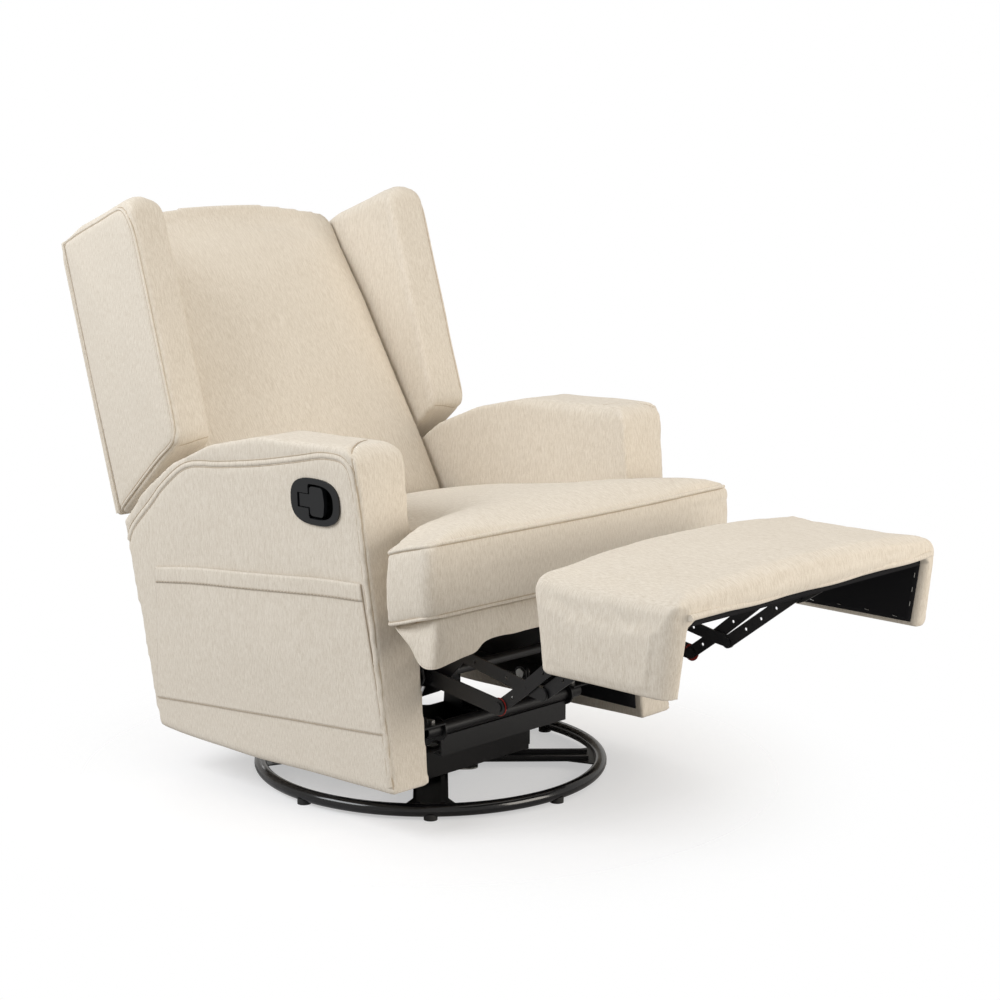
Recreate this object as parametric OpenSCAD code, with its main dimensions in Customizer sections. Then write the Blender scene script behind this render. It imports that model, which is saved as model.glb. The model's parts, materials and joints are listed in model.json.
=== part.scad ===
// Swivel glider recliner with wings, a T-shaped seat cushion and a fold-out footrest.
// Millimetres, +Z up. The chair faces -Y and the swivel axis meets the floor at the origin.
// It is drawn with the footrest out and the back a little reclined.
// Side views are written as [forward, up] points, where forward is -Y.

/* [Arms] */
// Clear width between the two arms
inner_w = 557; // [530:1:600]
// Thickness of an arm at its foot
arm_t = 85; // [78:1:105]
// Height at which the arms begin
arm_foot_z = 90; // [75:1:105]
// Height of an arm from its foot to its top
arm_h = 573; // [550:1:620]
// How much wider each arm grows on its outer face from foot to top
arm_flare = 30; // [10:1:45]
// Distance from the swivel axis forward to the front of an arm, at the foot
arm_front = 277; // [265:1:290]
// How far the front of an arm leans back from foot to top
arm_front_lean = 61; // [40:1:75]
// Distance from the swivel axis back to the rear of an arm, at the foot
arm_rear = 339; // [320:1:355]
// How far the rear of an arm leans back from foot to shoulder
arm_rear_lean = 68; // [50:1:85]
// Height of the rear shoulder of an arm above its foot
arm_shoulder_h = 371; // [330:1:400]

/* [Seat] */
// Distance from the inner face of an arm out to the side of a cushion ear
ear_reach = 108; // [98:1:116]
// Distance from the swivel axis forward to the front corners of the cushion
cushion_front = 386; // [376:1:396]
// How far the middle of the front edge bows out past the corners
cushion_bow = 17; // [4:1:25]
// Height of the seat deck that the cushion lies on
deck_z = 386; // [384:1:396]
// Height of the cushion's front border, seam to seam
boxing_h = 122; // [110:1:140]
// How far the front border's lower seam lies above the deck
cushion_lift = 15; // [8:1:18]
// Height of the cushion at its rear edge
cushion_rear_h = 66; // [55:1:80]
// Rise of the crown above the top seam
cushion_crown = 42; // [20:1:50]

/* [Back] */
// Lean of the back from upright, as drawn
back_tilt = 17; // [14:0.5:22]
// Distance from the swivel axis back to the recline hinge
hinge_back = 280; // [272:1:290]
// Height of the recline hinge
hinge_z = 400; // [394:1:408]
// Height of the wings above the hinge, along the back, at their front edge
wing_top = 638; // [600:1:670]
// Depth of a wing from its front edge to its rear edge
wing_depth = 215; // [200:1:225]
// Thickness of a wing
wing_t = 84; // [78:1:90]
// How far the rounded top of a wing rises above its outer edge
wing_rise = 19; // [8:1:24]
// Extra height of the middle of the back above the wings' outer edges
back_crown = 43; // [15:1:50]

/* [Footrest] */
// Width of the footrest
footrest_w = 686; // [660:1:695]
// Depth of the footrest, front to back
footrest_d = 305; // [290:1:315]
// Height of its top when it is out
footrest_z = 503; // [498:1:508]
// Height of the side flaps
flap_h = 153; // [140:1:160]
// Thickness of the side flaps
flap_t = 30; // [26:1:36]
// Thickness of the top pad at its edges
pad_t = 33; // [28:1:40]

/* [Linkage] */
// Distance between the outer faces of the two mechanism plates
mechanism_w = 482; // [478:1:484]
// Thickness of a link bar
link_t = 3; // [2.5:0.1:3.2]
// Width of the upper, cross and control links
link_w = 22; // [20:0.5:23]
// Width of the lower link
lower_link_w = 28; // [24:0.5:29]
// Diameter of the linkage pins
pin_d = 8; // [6:0.5:9]

/* [Base] */
// Radius of the base ring, to the middle of its tube
ring_r = 314; // [300:1:330]
// Diameter of the ring tube
ring_tube_d = 23; // [20:0.5:25]
// Height of the ring off the floor
ring_lift = 5; // [4:0.5:7]
// Diameter of the swivel bearing plates
bearing_w = 172; // [160:1:180]
// Length of a glide link between its pins
glide_link_l = 90; // [80:1:95]
// Distance from the swivel axis to the glide pins, forward and back
glide_reach = 90; // [80:1:100]
// Diameter of the two cross tubes
cross_tube_d = 25; // [22:0.5:27]

/* [Handle] */
// Width of the handle bezel
bezel_w = 118; // [110:1:124]
// Height of the handle bezel
bezel_h = 79; // [76:1:88]
// Depth of the handle cup
cup_depth = 34; // [30:1:38]

/* [Hidden] */

// Colours
fabric = [0.87, 0.82, 0.73];
fabric_shade = [0.83, 0.77, 0.66];
black_steel = [0.09, 0.09, 0.10];
black_plastic = [0.13, 0.13, 0.14];
black_cloth = [0.06, 0.06, 0.06];
zinc = [0.72, 0.72, 0.70];
red_plastic = [0.70, 0.12, 0.10];
wood = [0.76, 0.62, 0.44];

// Clearances
seat_gap = 0.3;
run_gap = 0.05;
overrun = 2;
round_fn = 48;
hole_fn = 36;

// Base
ring_z = ring_lift + ring_tube_d / 2;
glide_foot_n = 8;
glide_foot_d = 24;
glide_foot_h = 11;
spoke_t = 2.5;
spoke_w = 62;
spoke_end_w = 116;
spoke_hub_w = 150;
spoke_flare_share = 0.80;
spoke_rib_w = 7;
spoke_rib_h = 7;
spoke_rib_inset = 6;
bearing_t = 2.5;
bearing_corner_r = 16;
ball_d = 9;
ball_n = 16;
ball_circle_r = 62;
cage_w = 12;
cage_t = 2;
swivel_bolt_d = 16;
swivel_head_d = 30;
swivel_head_h = 4;

spoke_z = ring_z + spoke_t / 2;
lower_plate_z = spoke_z;
ball_z = lower_plate_z + bearing_t + seat_gap + ball_d / 2;
upper_plate_z = ball_z + ball_d / 2 + seat_gap;
floor_z = upper_plate_z + bearing_t;

// Glide
floor_t = 3;
upright_x = 146;
upright_t = 3;
glide_gap = 1;
glide_head_t = 3;
glide_link_t = 4;
glide_link_w = 24;
glide_pin_d = 10;
glide_boss_d = 18;
glide_pin_z = 75;
glide_top_z = glide_pin_z + glide_link_l;
glide_head_x = upright_x + upright_t + glide_gap;
glide_link_x = glide_head_x + glide_head_t + glide_gap;
glide_outer_head_x = glide_link_x + glide_link_t + seat_gap;
carriage_x = glide_outer_head_x + glide_head_t + glide_gap;
carriage_t = 3.5;
carriage_w = 26;
carriage_end_w = 42;
cross_tube_reach = 183;
cross_tube_z = 141;
cross_tube_end = 198;
cross_tube_wall = 2;
upright_foot = 112;
upright_foot_h = 40;
horn_w = 26;
horn_edge = 1;
upright_r = 8;
lip_t = 2.5;
lip_drop = 8;
apron_t = 2.5;
apron_h = 36;
apron_lip = 20;
apron_gap = 6;

// Rails of the seat frame, which lies on the mechanism
rail_t = 26;
rail_h = 40;
frame_z = deck_z - rail_h - seat_gap;
frame_rear = 250;

// Mechanism: the plate, then four layers of links outside it
plate_x = mechanism_w / 2 - link_t;
layer_gap = 1.5;
function layer_x(k) = plate_x + k * (link_t + layer_gap);
plate_foot_z = cross_tube_z + cross_tube_d / 2 + seat_gap;
plate_foot_x = carriage_x + carriage_t + glide_gap;
plate_top_gap = 0.7;
plate_top_z = frame_z - plate_top_gap;
flange_out = 30;
plate_foot_front = 165;
plate_foot_rear = 205;
plate_flange_reach = 236;
plate_front_h = 44;
plate_lower_front = 12;
plate_lower_drop = 26;
plate_upper_front = 13;
plate_upper_drop = 17;
plate_upper_rise = 13;
plate_horn_front = 16;
plate_horn_rear = 15;
plate_horn_rise = 14;
plate_horn_drop = 20;
plate_rear_back = 40;
plate_rear_h = 60;
plate_radii = [0, 0, 20, 14, 12, 12, 0, 0, 13, 13, 13, 30];
tongue_inset = 10;
tongue_x = plate_x - tongue_inset;
mechanism_bolt_x = (plate_foot_x + cross_tube_end) / 2;
mechanism_head_r = 7;
mechanism_head_h = 4;
hinge_pin_d = 12;
hinge_head_d = 22;
hinge_head_t = 3;
pin_r = pin_d / 2;
rivet_r = 8.5;
rivet_t = 2.5;
open_hole_play = 3.4;
open_hole_r = pin_r + open_hole_play;
open_head_rim = 3.2;
open_head_r = open_hole_r + open_head_rim;
link_hole_r = 3;
spindle_r = 7;
torque_r = 9;
washer_t = 1.1;
washer_rim = 1.5;
washer_r = lower_link_w / 2 + washer_rim;
bushing_inset = 1;
bushing_r = link_w / 2 - bushing_inset;

// Linkage pivots, [forward, up] with the footrest out
upper_pivot_u = 303.4;
upper_pivot_z = 314.4;
lower_pivot_u = 250.3;
lower_pivot_z = 264.7;
cross_pivot_u = 465;
cross_pivot_z = 283.1;
control_pivot_u = 498.7;
control_pivot_z = 278.6;
open_pivot_u = 410.2;
open_pivot_z = 242.4;
bracket_rear_u = 605.4;
bracket_rear_z = 398.7;
bracket_front_u = 643.6;
bracket_front_z = 387.6;
upper_pivot = [upper_pivot_u, upper_pivot_z];
lower_pivot = [lower_pivot_u, lower_pivot_z];
cross_pivot = [cross_pivot_u, cross_pivot_z];
control_pivot = [control_pivot_u, control_pivot_z];
open_pivot = [open_pivot_u, open_pivot_z];
bracket_rear = [bracket_rear_u, bracket_rear_z];
bracket_front = [bracket_front_u, bracket_front_z];
hinge_pivot = [-hinge_back, hinge_z];

// Seat
frame_side = inner_w / 2 - seat_gap;
frame_front = 325;
strap_t = 1.2;
strap_w = 48;
strap_end = 7;
straps_long = 5;
straps_cross = 4;
cushion_side_gap = 2;
cushion_side = inner_w / 2 - cushion_side_gap;
cushion_half = inner_w / 2 + ear_reach;
cushion_rear = 221;
cushion_z = deck_z + 2 * strap_t + 3 * seat_gap;
cushion_centre = 262;
ear_gap = 8;
ear_back = arm_front - arm_front_lean * (cushion_z + boxing_h / 2 - arm_foot_z) / arm_h + ear_gap;
ear_side_d = 96;
ear_droop = 13;
ear_firm = 44;
ear_r = 20;
ear_back_r = 6;
ear_r_inner = 6;
cushion_bow_r = 900;
cushion_rear_r = 24;
skirt_half_w = 299;
skirt_h = 64;
skirt_t = 6;
skirt_rise = 24;
skirt_inset = 9;
bolt_r = 4;
frame_bolt_z = frame_z + rail_h / 2;
frame_bolt_places = [-170, 110];

// Arms
arm_x = inner_w / 2;
flare_a = atan2(arm_flare, arm_h);
arm_top_r = 26;
arm_front_top_r = 34;
arm_edge_r = 14;
arm_foot_r = 6;
arm_knee = -20;
arm_knee_drop = 6;
arm_slope_u_share = [0.34, 0.62, 0.82];
arm_slope_z_share = [0.85, 0.625, 0.34];
arm_slope_r = 120;
arm_padding_t = 12;
arm_frame_x = arm_x + arm_padding_t;
arm_frame_t = 25;
arm_rail_h = 42;
arm_post_w = 40;
arm_frame_inset = 11;
arm_frame_top = 490;
arm_rear_post_top = 440;
arm_top_rail_rear = -120;
dust_t = 1.1;
dust_drop = 6;
dust_top = plate_top_z - dust_drop;
dust_inset = 14;

// Side pocket, measured on the outer face of the right arm
pocket_t = 2;
pocket_gap = 2.5;
pocket_welt = 7;
pocket_edge = 9;
pocket_low = 98;
pocket_high_front = 350;
pocket_high_rear = 291;
pocket_low_rear = 48;
pocket_hem_h = 28;
pocket_hem_inset = 1;
pocket_corner_r = 10;
pocket_hem_t = 1.5;

// Rear panel between the arms
rear_panel_t = 8;
rear_panel_low = 118;
rear_panel_high = 300;
rear_panel_inset = 6;

// Handle
handle_u = 122;
handle_up = 474;
bezel_t = 3;
cup_wall = 2.5;
cup_inset = 7;
oval_power = 2.7;
oval_n = 48;
paddle_t = 3.5;
paddle_hub_r = 4.2;
paddle_pin_r = 2;
paddle_pin_half = 20;
paddle_drop = 6.5;
paddle_axis = -44;
paddle_face_z = 1.5;
paddle_room = 1.6;
stem_rear = -38.5;
stem_room = 3.7;
stem_h = 22;
head_rear = -14;
head_front = 22;
head_lean = 4;
head_h = 50;
head_r = 7;
head_front_r = 40;
recess_reach = 45;
recess_extra_h = 6;

// Release cable: [x, forward, up] points from the handle cup down to the pawl
cable_d = 5;
cable_sides = 8;
cable_route = [
    [-353, 150, 556], [-337, 150, 556], [-331, 150, 551], [-330, 150, 540], [-330, 150, 430],
    [-330, 150, 315], [-328, 150, 304], [-318, 150, 300], [-300, 150, 300], [-279, 150, 300],
    [-270, 156, 300], [-266, 175, 299], [-266, 205, 297], [-266, 232, 290], [-266, 247, 277],
    [-266, 251, 264], [-266, 244, 247], [-266, 227, 214], [-266, 215, 192], [-266, 196, 176],
    [-266, 172, 172], [-264, 152, 176], [-256, 146, 180], [-240, 146, 182], [-226, 148, 184],
    [-222, 156, 190], [-222, 170, 202], [-222, 180, 212]
];
cable_duct_r = 6;
cable_duct_x = 330;
cable_duct_u = 150;
cable_duct_high = 556;
cable_duct_low = 300;
plate_cable_hole = [146, 181];
plate_cable_hole_r = 6;
sleeve_x = 266;
sleeve_r = 6.5;
sleeve_low = [221, 202];
sleeve_high = [247, 253];
clip_w = 12;
clip_h = 20;

// Footrest
footrest_rear = 556;
flap_taper_rear = 30;
flap_taper_front = 22;
board_t = 11;
board_inset = 20;
cloth_t = 1.2;
cloth_inset = 8;
bracket_reach = 765;
bracket_rear_end = 16;
bracket_rear_drop = 14;
bracket_front_end = 16;
bracket_front_drop = 10;
bracket_heel = 2;
bracket_heel_drop = 16;
bracket_nose_h = 12;
bracket_radii = [0, 0, 6, 12, 10, 14];
pad_r = 28;
pad_hem_r = 5;
pad_inner_r = 1.5;
pad_edge_r = 15;
pad_crown = 17;
bracket_top = footrest_z - pad_t - board_t - 3 * seat_gap - cloth_t;

// Release pawl beside the right plate
pawl_pivot = [205, 250];
pawl_inset = 12;
pawl_x = plate_x - pawl_inset;
pawl_t = 4;
pawl_w = 13;
pawl_pin_r = 4;
pawl_tail = [184, 220];
wire_d = 1.4;
coil_turns = 3.25;
coil_steps = 14;
coil_start = 30;
coil_leg = 12;
coil_sides = 6;
sector_r = 15;
sector_t = 6;
pawl_tip_a = 186;
pawl_tip = on_circle(lower_pivot, sector_r + pawl_w / 2 + glide_gap / 2, pawl_tip_a);

// Back, measured along [back, up] from the recline hinge in the tilted frame
wing_rear = 142;
wing_rear_drop = 13;
wing_low_rear = 104;
wing_low_front = 205;
wing_gap = 1;
wing_x = inner_w / 2 + wing_gap;
wing_corner_r = 22;
wing_edge_r = 12;
wing_rear_r = 8;
wing_crown = 7;
wing_rise_reach = 60;
wing_rise_fade = 45;
wing_top_bow = 2;
back_frame_back = 137;
back_frame_t = 20;
back_frame_low = 62;
back_frame_high = 596;
back_post_w = 32;
back_rail_w = 42;
back_low = 34;
back_nose = 24;
back_nose_reach = 60;
back_low_front = -62;
back_root_top = 645;
back_root_top_back = 106;
back_bulge = 30;
back_side_gap = 0.5;
back_side = inner_w / 2 - back_side_gap;
back_corner_r = 34;
back_edge_r = 16;
back_low_r = 22;
back_crown_r = 1100;
back_least_t = 12;
panel_t = 6;
panel_inset = 2;
panel_drop = 4;
bracket_t = 4;
bracket_w = 20;
bracket_up = 260;
bracket_turn = 18;
bracket_turn_up = 11;

// Shares that shape the soft pieces and the link holes
link_hole_share = [0.28, 0.5, 0.72];
cushion_wall_shares = [[0.74, 0], [0.92, 0], [0.963, 0.01], [0.987, 0.05], [0.998, 0.3], [1, 0.6],
    [0.988, 0.97]];
cushion_top_shares = [0.974, 0.94, 0.87, 0.77, 0.63, 0.45, 0.24];
cushion_crown_power = 2.2;
back_edge_shares = [[0, 0.1, 0], [0.05, 0, 0], [0.45, 0, 0], [0.75, 0.08, 0], [0.92, 0.4, 1]];
back_face_shares = [1, 0.96, 0.86, 0.7, 0.48, 0.24];
back_bulge_power = 2;
wing_edge_shares = [[0, 0.5, 0], [0.036, 0.15, 0.2], [0.09, 0, 0.45], [0.3, 0, 0.85], [0.5, 0, 1],
    [0.7, 0, 0.85], [0.86, 0, 0.5], [0.943, 0.2, 0.2], [0.986, 0.6, 0]];
wing_face_shares = [1, 0.75, 0.4];
pad_edge_shares = [[0, 1], [0.006, 0.55], [0.022, 0.2], [0.05, 0], [0.95, 0], [0.978, 0.2],
    [0.994, 0.55], [1, 1]];

// Shapes

// A side-view outline of [forward, up] points, as a plate of thickness t from x outward
module side_plate(x, t) {
    translate([x + t, 0, 0]) rotate([90, 0, -90]) linear_extrude(t) children();
}

// A round bar along x at a [forward, up] point
module bar_x(p, r, x0, x1) {
    translate([x0, -p[0], p[1]]) rotate([0, 90, 0]) cylinder(h = x1 - x0, r = r, $fn = round_fn);
}

// A box given by its limits across, forward and up
module block(x0, x1, u0, u1, z0, z1) {
    translate([x0, -u1, z0]) cube([x1 - x0, u1 - u0, z1 - z0]);
}

// What is drawn for the left side, at +x, on either side
module on_side(s) {
    if (s < 0) mirror([1, 0, 0]) children();
    else children();
}

function unit(v) = v / norm(v);
function heading(a, b) = atan2(b[1] - a[1], b[0] - a[0]);
function on_circle(c, r, a) = c + r * [cos(a), sin(a)];

// One corner of an outline, rounded with radius r
function corner(a, b, c, r, n) =
    r <= 0 ? [b] :
    let (to_a = unit(a - b), to_c = unit(c - b), half = acos(to_a * to_c) / 2)
    let (centre = b + unit(to_a + to_c) * r / sin(half), reach = r / tan(half))
    let (start = heading(centre, b + to_a * reach), end = heading(centre, b + to_c * reach))
    let (turn = (end - start + 540) % 360 - 180)
    [for (i = [0:n]) on_circle(centre, r, start + turn * i / n)];

function rounded(pts, radii, n = 6) =
    let (m = len(pts))
    [for (i = [0:m - 1])
        each corner(pts[(i + m - 1) % m], pts[i], pts[(i + 1) % m], radii[i], n)];

// A convex outline drawn in by e on every side
function inset_outline(pts, e) =
    let (m = len(pts))
    [for (i = [0:m - 1])
        let (b = pts[i], to_a = unit(pts[(i + m - 1) % m] - b), to_c = unit(pts[(i + 1) % m] - b))
        b + unit(to_a + to_c) * e / sin(acos(to_a * to_c) / 2)];

// A bar of half-width r along a path, with round ends
function strap_edge(pts, i, r, s) =
    let (h0 = heading(pts[i - 1], pts[i]), h1 = heading(pts[i], pts[i + 1]))
    pts[i] + s * r / cos((h1 - h0) / 2) * [cos((h0 + h1) / 2 + 90), sin((h0 + h1) / 2 + 90)];

function strap(pts, r, n = 12) =
    let (m = len(pts), h0 = heading(pts[0], pts[1]), h1 = heading(pts[m - 2], pts[m - 1]))
    concat(
        [for (i = [0:n]) on_circle(pts[0], r, h0 + 90 + 180 * i / n)],
        [for (i = [1:1:m - 2]) strap_edge(pts, i, r, -1)],
        [for (i = [0:n]) on_circle(pts[m - 1], r, h1 - 90 + 180 * i / n)],
        [for (i = [m - 2:-1:1]) strap_edge(pts, i, r, 1)]);

// A closed skin over rings of equal length, with a point at each end.
// The rings run counter-clockwise as seen from the last one.
module lofted(rings, first, last) {
    n = len(rings[0]);
    m = len(rings);
    points = concat([first], [for (ring = rings) each ring], [last]);
    sides = [for (j = [0:m - 2]) for (i = [0:n - 1])
        let (a = 1 + j * n + i, b = 1 + j * n + (i + 1) % n)
        each [[a, b + n, b], [a, a + n, b + n]]];
    start = [for (i = [0:n - 1]) [0, 1 + i, 1 + (i + 1) % n]];
    finish = [for (i = [0:n - 1])
        [1 + m * n, 1 + (m - 1) * n + (i + 1) % n, 1 + (m - 1) * n + i]];
    polyhedron(points, concat(start, sides, finish), convexity = 4);
}

// A tube along a route, round in section
function route_heading(pts, i) =
    unit(pts[min(i + 1, len(pts) - 1)] - pts[max(i - 1, 0)]);
module tube_along(pts, d, sides) {
    guide = [0.31, 0.27, 0.91];
    rings = [for (i = [0:len(pts) - 1])
        let (t = route_heading(pts, i), a = unit(cross(t, guide)), b = cross(t, a))
        [for (k = [0:sides - 1])
            pts[i] + d / 2 * (cos(360 * k / sides) * a + sin(360 * k / sides) * b)]];
    lofted(rings, pts[0], pts[len(pts) - 1]);
}

// An oval between an ellipse and a rectangle
function oval(w, h) = [for (i = [0:oval_n - 1])
    let (a = 360 * i / oval_n, c = cos(a), s = sin(a))
    [sign(c) * w / 2 * pow(abs(c), 2 / oval_power), sign(s) * h / 2 * pow(abs(s), 2 / oval_power)]];

// Base

module ring_solid(extra) {
    translate([0, 0, ring_z])
        rotate_extrude($fn = 96) translate([ring_r, 0]) circle(r = ring_tube_d / 2 + extra, $fn = 32);
}

module base_ring() {
    color(black_steel) ring_solid(0);
}

function spoke_outline() =
    let (end = ring_r, flare = spoke_flare_share * ring_r)
    [[-end, -spoke_end_w / 2], [-flare, -spoke_w / 2], [-spoke_w, -spoke_w / 2],
     [spoke_w, -spoke_w / 2], [flare, -spoke_w / 2], [end, -spoke_end_w / 2],
     [end, spoke_end_w / 2], [flare, spoke_w / 2], [-flare, spoke_w / 2], [-end, spoke_end_w / 2]];

module base_spokes() {
    rib_y = spoke_w / 2 - spoke_rib_inset - spoke_rib_w;
    rib_start = spoke_hub_w / 2 + bearing_corner_r + spoke_rib_w;
    rib_end = ring_r - ring_tube_d;
    color(black_steel) difference() {
        for (a = [45, 135]) rotate([0, 0, a]) {
            translate([0, 0, spoke_z - spoke_t]) linear_extrude(spoke_t) polygon(spoke_outline());
            for (x = [-rib_end, rib_start], y = [-rib_y - spoke_rib_w, rib_y])
                translate([x, y, spoke_z - spoke_t / 2])
                    cube([rib_end - rib_start, spoke_rib_w, spoke_rib_h]);
        }
        ring_solid(seat_gap);
        difference() {
            cylinder(r = ring_r * 2, h = ring_z * 4, center = true, $fn = 64);
            cylinder(r = ring_r, h = ring_z * 6, center = true, $fn = 96);
        }
        cylinder(d = swivel_bolt_d + 2 * run_gap, h = ring_z * 4, center = true, $fn = round_fn);
    }
}

module ring_glides() {
    color(black_plastic) for (i = [0:glide_foot_n - 1]) rotate([0, 0, 360 * i / glide_foot_n])
        difference() {
            translate([ring_r, 0, 0]) cylinder(d = glide_foot_d, h = glide_foot_h, $fn = round_fn);
            ring_solid(seat_gap);
        }
}

module bearing_plate(z) {
    half = bearing_w / 2;
    square_pts = [[-half, -half], [half, -half], [half, half], [-half, half]];
    corners = [for (i = [0:3]) bearing_corner_r];
    translate([0, 0, z]) difference() {
        linear_extrude(bearing_t) polygon(rounded(square_pts, corners));
        cylinder(d = swivel_bolt_d + 2 * run_gap, h = bearing_t * 4, center = true, $fn = round_fn);
    }
}

module bearing_lower_plate() {
    color(zinc) rotate([0, 0, 45]) bearing_plate(lower_plate_z);
}

module bearing_ball_ring() {
    color(zinc) translate([0, 0, ball_z]) {
        difference() {
            cylinder(r = ball_circle_r + cage_w / 2, h = cage_t, center = true, $fn = 64);
            cylinder(r = ball_circle_r - cage_w / 2, h = cage_t * 2, center = true, $fn = 64);
        }
        for (i = [0:ball_n - 1]) rotate([0, 0, 360 * i / ball_n])
            translate([ball_circle_r, 0, 0]) sphere(d = ball_d, $fn = 24);
    }
}

module bearing_upper_plate() {
    color(black_steel) bearing_plate(upper_plate_z);
}

module swivel_bolt() {
    bottom = spoke_z - spoke_t - seat_gap - swivel_head_h;
    top = floor_z + floor_t + seat_gap;
    color(zinc) {
        translate([0, 0, bottom]) cylinder(d = swivel_head_d, h = swivel_head_h, $fn = round_fn);
        translate([0, 0, bottom])
            cylinder(d = swivel_bolt_d, h = top + swivel_head_h - bottom, $fn = round_fn);
        translate([0, 0, top]) cylinder(d = swivel_head_d, h = swivel_head_h, $fn = 6);
    }
}

// Glide

function upright_outline() =
    let (foot = upright_foot, low = floor_z, valley = floor_z + upright_foot_h)
    let (top = glide_top_z + horn_w / 2)
    [[-foot, low], [foot, low], [foot, valley], [glide_reach + horn_w / 2, top],
     [glide_reach - horn_w / 2, top], [glide_reach - horn_w, valley],
     [horn_w - glide_reach, valley], [horn_w / 2 - glide_reach, top],
     [-glide_reach - horn_w / 2, top], [-foot, valley]];

module glide_base_frame() {
    horn_r = horn_w / 2 - horn_edge;
    radii = [0, 0, upright_r, horn_r, horn_r, upright_r, upright_r, horn_r, horn_r, upright_r];
    color(black_steel) difference() {
        union() {
            block(-upright_x, upright_x, -upright_foot, upright_foot, floor_z, floor_z + floor_t);
            for (s = [-1, 1]) on_side(s)
                side_plate(upright_x, upright_t) polygon(rounded(upright_outline(), radii));
            for (s = [-1, 1])
                block(-upright_x, upright_x, s * upright_foot - (s > 0 ? lip_t : 0),
                    s * upright_foot + (s > 0 ? 0 : lip_t), floor_z - lip_drop,
                    floor_z + upright_foot_h);
        }
        cylinder(d = swivel_bolt_d + 2 * run_gap, h = floor_z * 4, center = true, $fn = round_fn);
        for (u = [-glide_reach, glide_reach])
            bar_x([u, glide_top_z], glide_pin_d / 2, -upright_x * 2, upright_x * 2);
    }
}

module glide_top_bolts() {
    color(zinc) for (s = [-1, 1], u = [-glide_reach, glide_reach]) on_side(s) {
        p = [u, glide_top_z];
        bar_x(p, glide_boss_d / 2, upright_x - glide_head_t, upright_x);
        bar_x(p, glide_pin_d / 2, upright_x - glide_head_t, glide_outer_head_x);
        bar_x(p, glide_boss_d / 2, upright_x + upright_t, glide_link_x - seat_gap);
        bar_x(p, glide_boss_d / 2, glide_outer_head_x, glide_outer_head_x + glide_head_t);
    }
}

module glide_link(s, u) {
    low = [u, glide_pin_z];
    high = [u, glide_top_z];
    color(black_steel) on_side(s) difference() {
        side_plate(glide_link_x, glide_link_t) polygon(strap([low, high], glide_link_w / 2));
        for (p = [low, high])
            bar_x(p, glide_pin_d / 2 + run_gap, glide_link_x - overrun,
                glide_link_x + glide_link_t + overrun);
    }
}

module glide_link_front_right() { glide_link(-1, glide_reach); }
module glide_link_front_left() { glide_link(1, glide_reach); }
module glide_link_rear_right() { glide_link(-1, -glide_reach); }
module glide_link_rear_left() { glide_link(1, -glide_reach); }

module carriage_plate(s) {
    pins = [[glide_reach, glide_pin_z], [-glide_reach, glide_pin_z]];
    tubes = [[cross_tube_reach, cross_tube_z], [-cross_tube_reach, cross_tube_z]];
    path = [tubes[1], pins[1], pins[0], tubes[0]];
    color(black_steel) on_side(s) {
        difference() {
            side_plate(carriage_x, carriage_t) union() {
                polygon(strap(path, carriage_w / 2));
                for (p = tubes) translate(p) circle(d = carriage_end_w, $fn = round_fn);
            }
            for (p = tubes)
                bar_x(p, cross_tube_d / 2 + run_gap, carriage_x - overrun,
                    carriage_x + carriage_t + overrun);
        }
        for (p = pins) {
            bar_x(p, glide_boss_d / 2, glide_outer_head_x, carriage_x);
            bar_x(p, glide_pin_d / 2, glide_head_x, carriage_x);
            bar_x(p, glide_boss_d / 2, glide_head_x, glide_head_x + glide_head_t);
        }
    }
}

module carriage_plate_right() { carriage_plate(-1); }
module carriage_plate_left() { carriage_plate(1); }

module cross_tubes() {
    color(black_steel) for (u = [-cross_tube_reach, cross_tube_reach]) difference() {
        bar_x([u, cross_tube_z], cross_tube_d / 2, -cross_tube_end, cross_tube_end);
        bar_x([u, cross_tube_z], cross_tube_d / 2 - cross_tube_wall, -cross_tube_end - overrun,
            cross_tube_end + overrun);
        for (x = [-mechanism_bolt_x, mechanism_bolt_x]) translate([x, -u, cross_tube_z])
            cylinder(r = bolt_r + run_gap, h = cross_tube_d, $fn = hole_fn);
    }
}

module front_apron() {
    half = carriage_x - seat_gap;
    top = cross_tube_z - cross_tube_d / 2 - seat_gap;
    front = cross_tube_reach + apron_gap;
    color(black_steel) {
        block(-half, half, front - apron_t, front, top - apron_h, top);
        block(-half, half, front - apron_lip, front - apron_t, top - apron_h,
            top - apron_h + apron_t);
        block(-half, half, front - apron_lip, front - apron_t, top - apron_t, top);
    }
}

// Mechanism

function plate_outline() =
    [[-plate_foot_rear, plate_foot_z], [plate_foot_front, plate_foot_z],
     [plate_foot_front, plate_foot_z + plate_front_h],
     [lower_pivot_u + plate_lower_front, lower_pivot_z - plate_lower_drop],
     [upper_pivot_u + plate_upper_front, upper_pivot_z - plate_upper_drop],
     [upper_pivot_u + plate_upper_front, upper_pivot_z + plate_upper_rise],
     [plate_flange_reach, plate_top_z],
     [-frame_rear - glide_gap, plate_top_z],
     [-hinge_back + plate_horn_front, hinge_z + plate_horn_rise],
     [-hinge_back - plate_horn_rear, hinge_z + plate_horn_rise],
     [-hinge_back - plate_horn_rear, hinge_z - plate_horn_drop],
     [-plate_foot_rear - plate_rear_back, plate_foot_z + plate_rear_h]];

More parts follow.
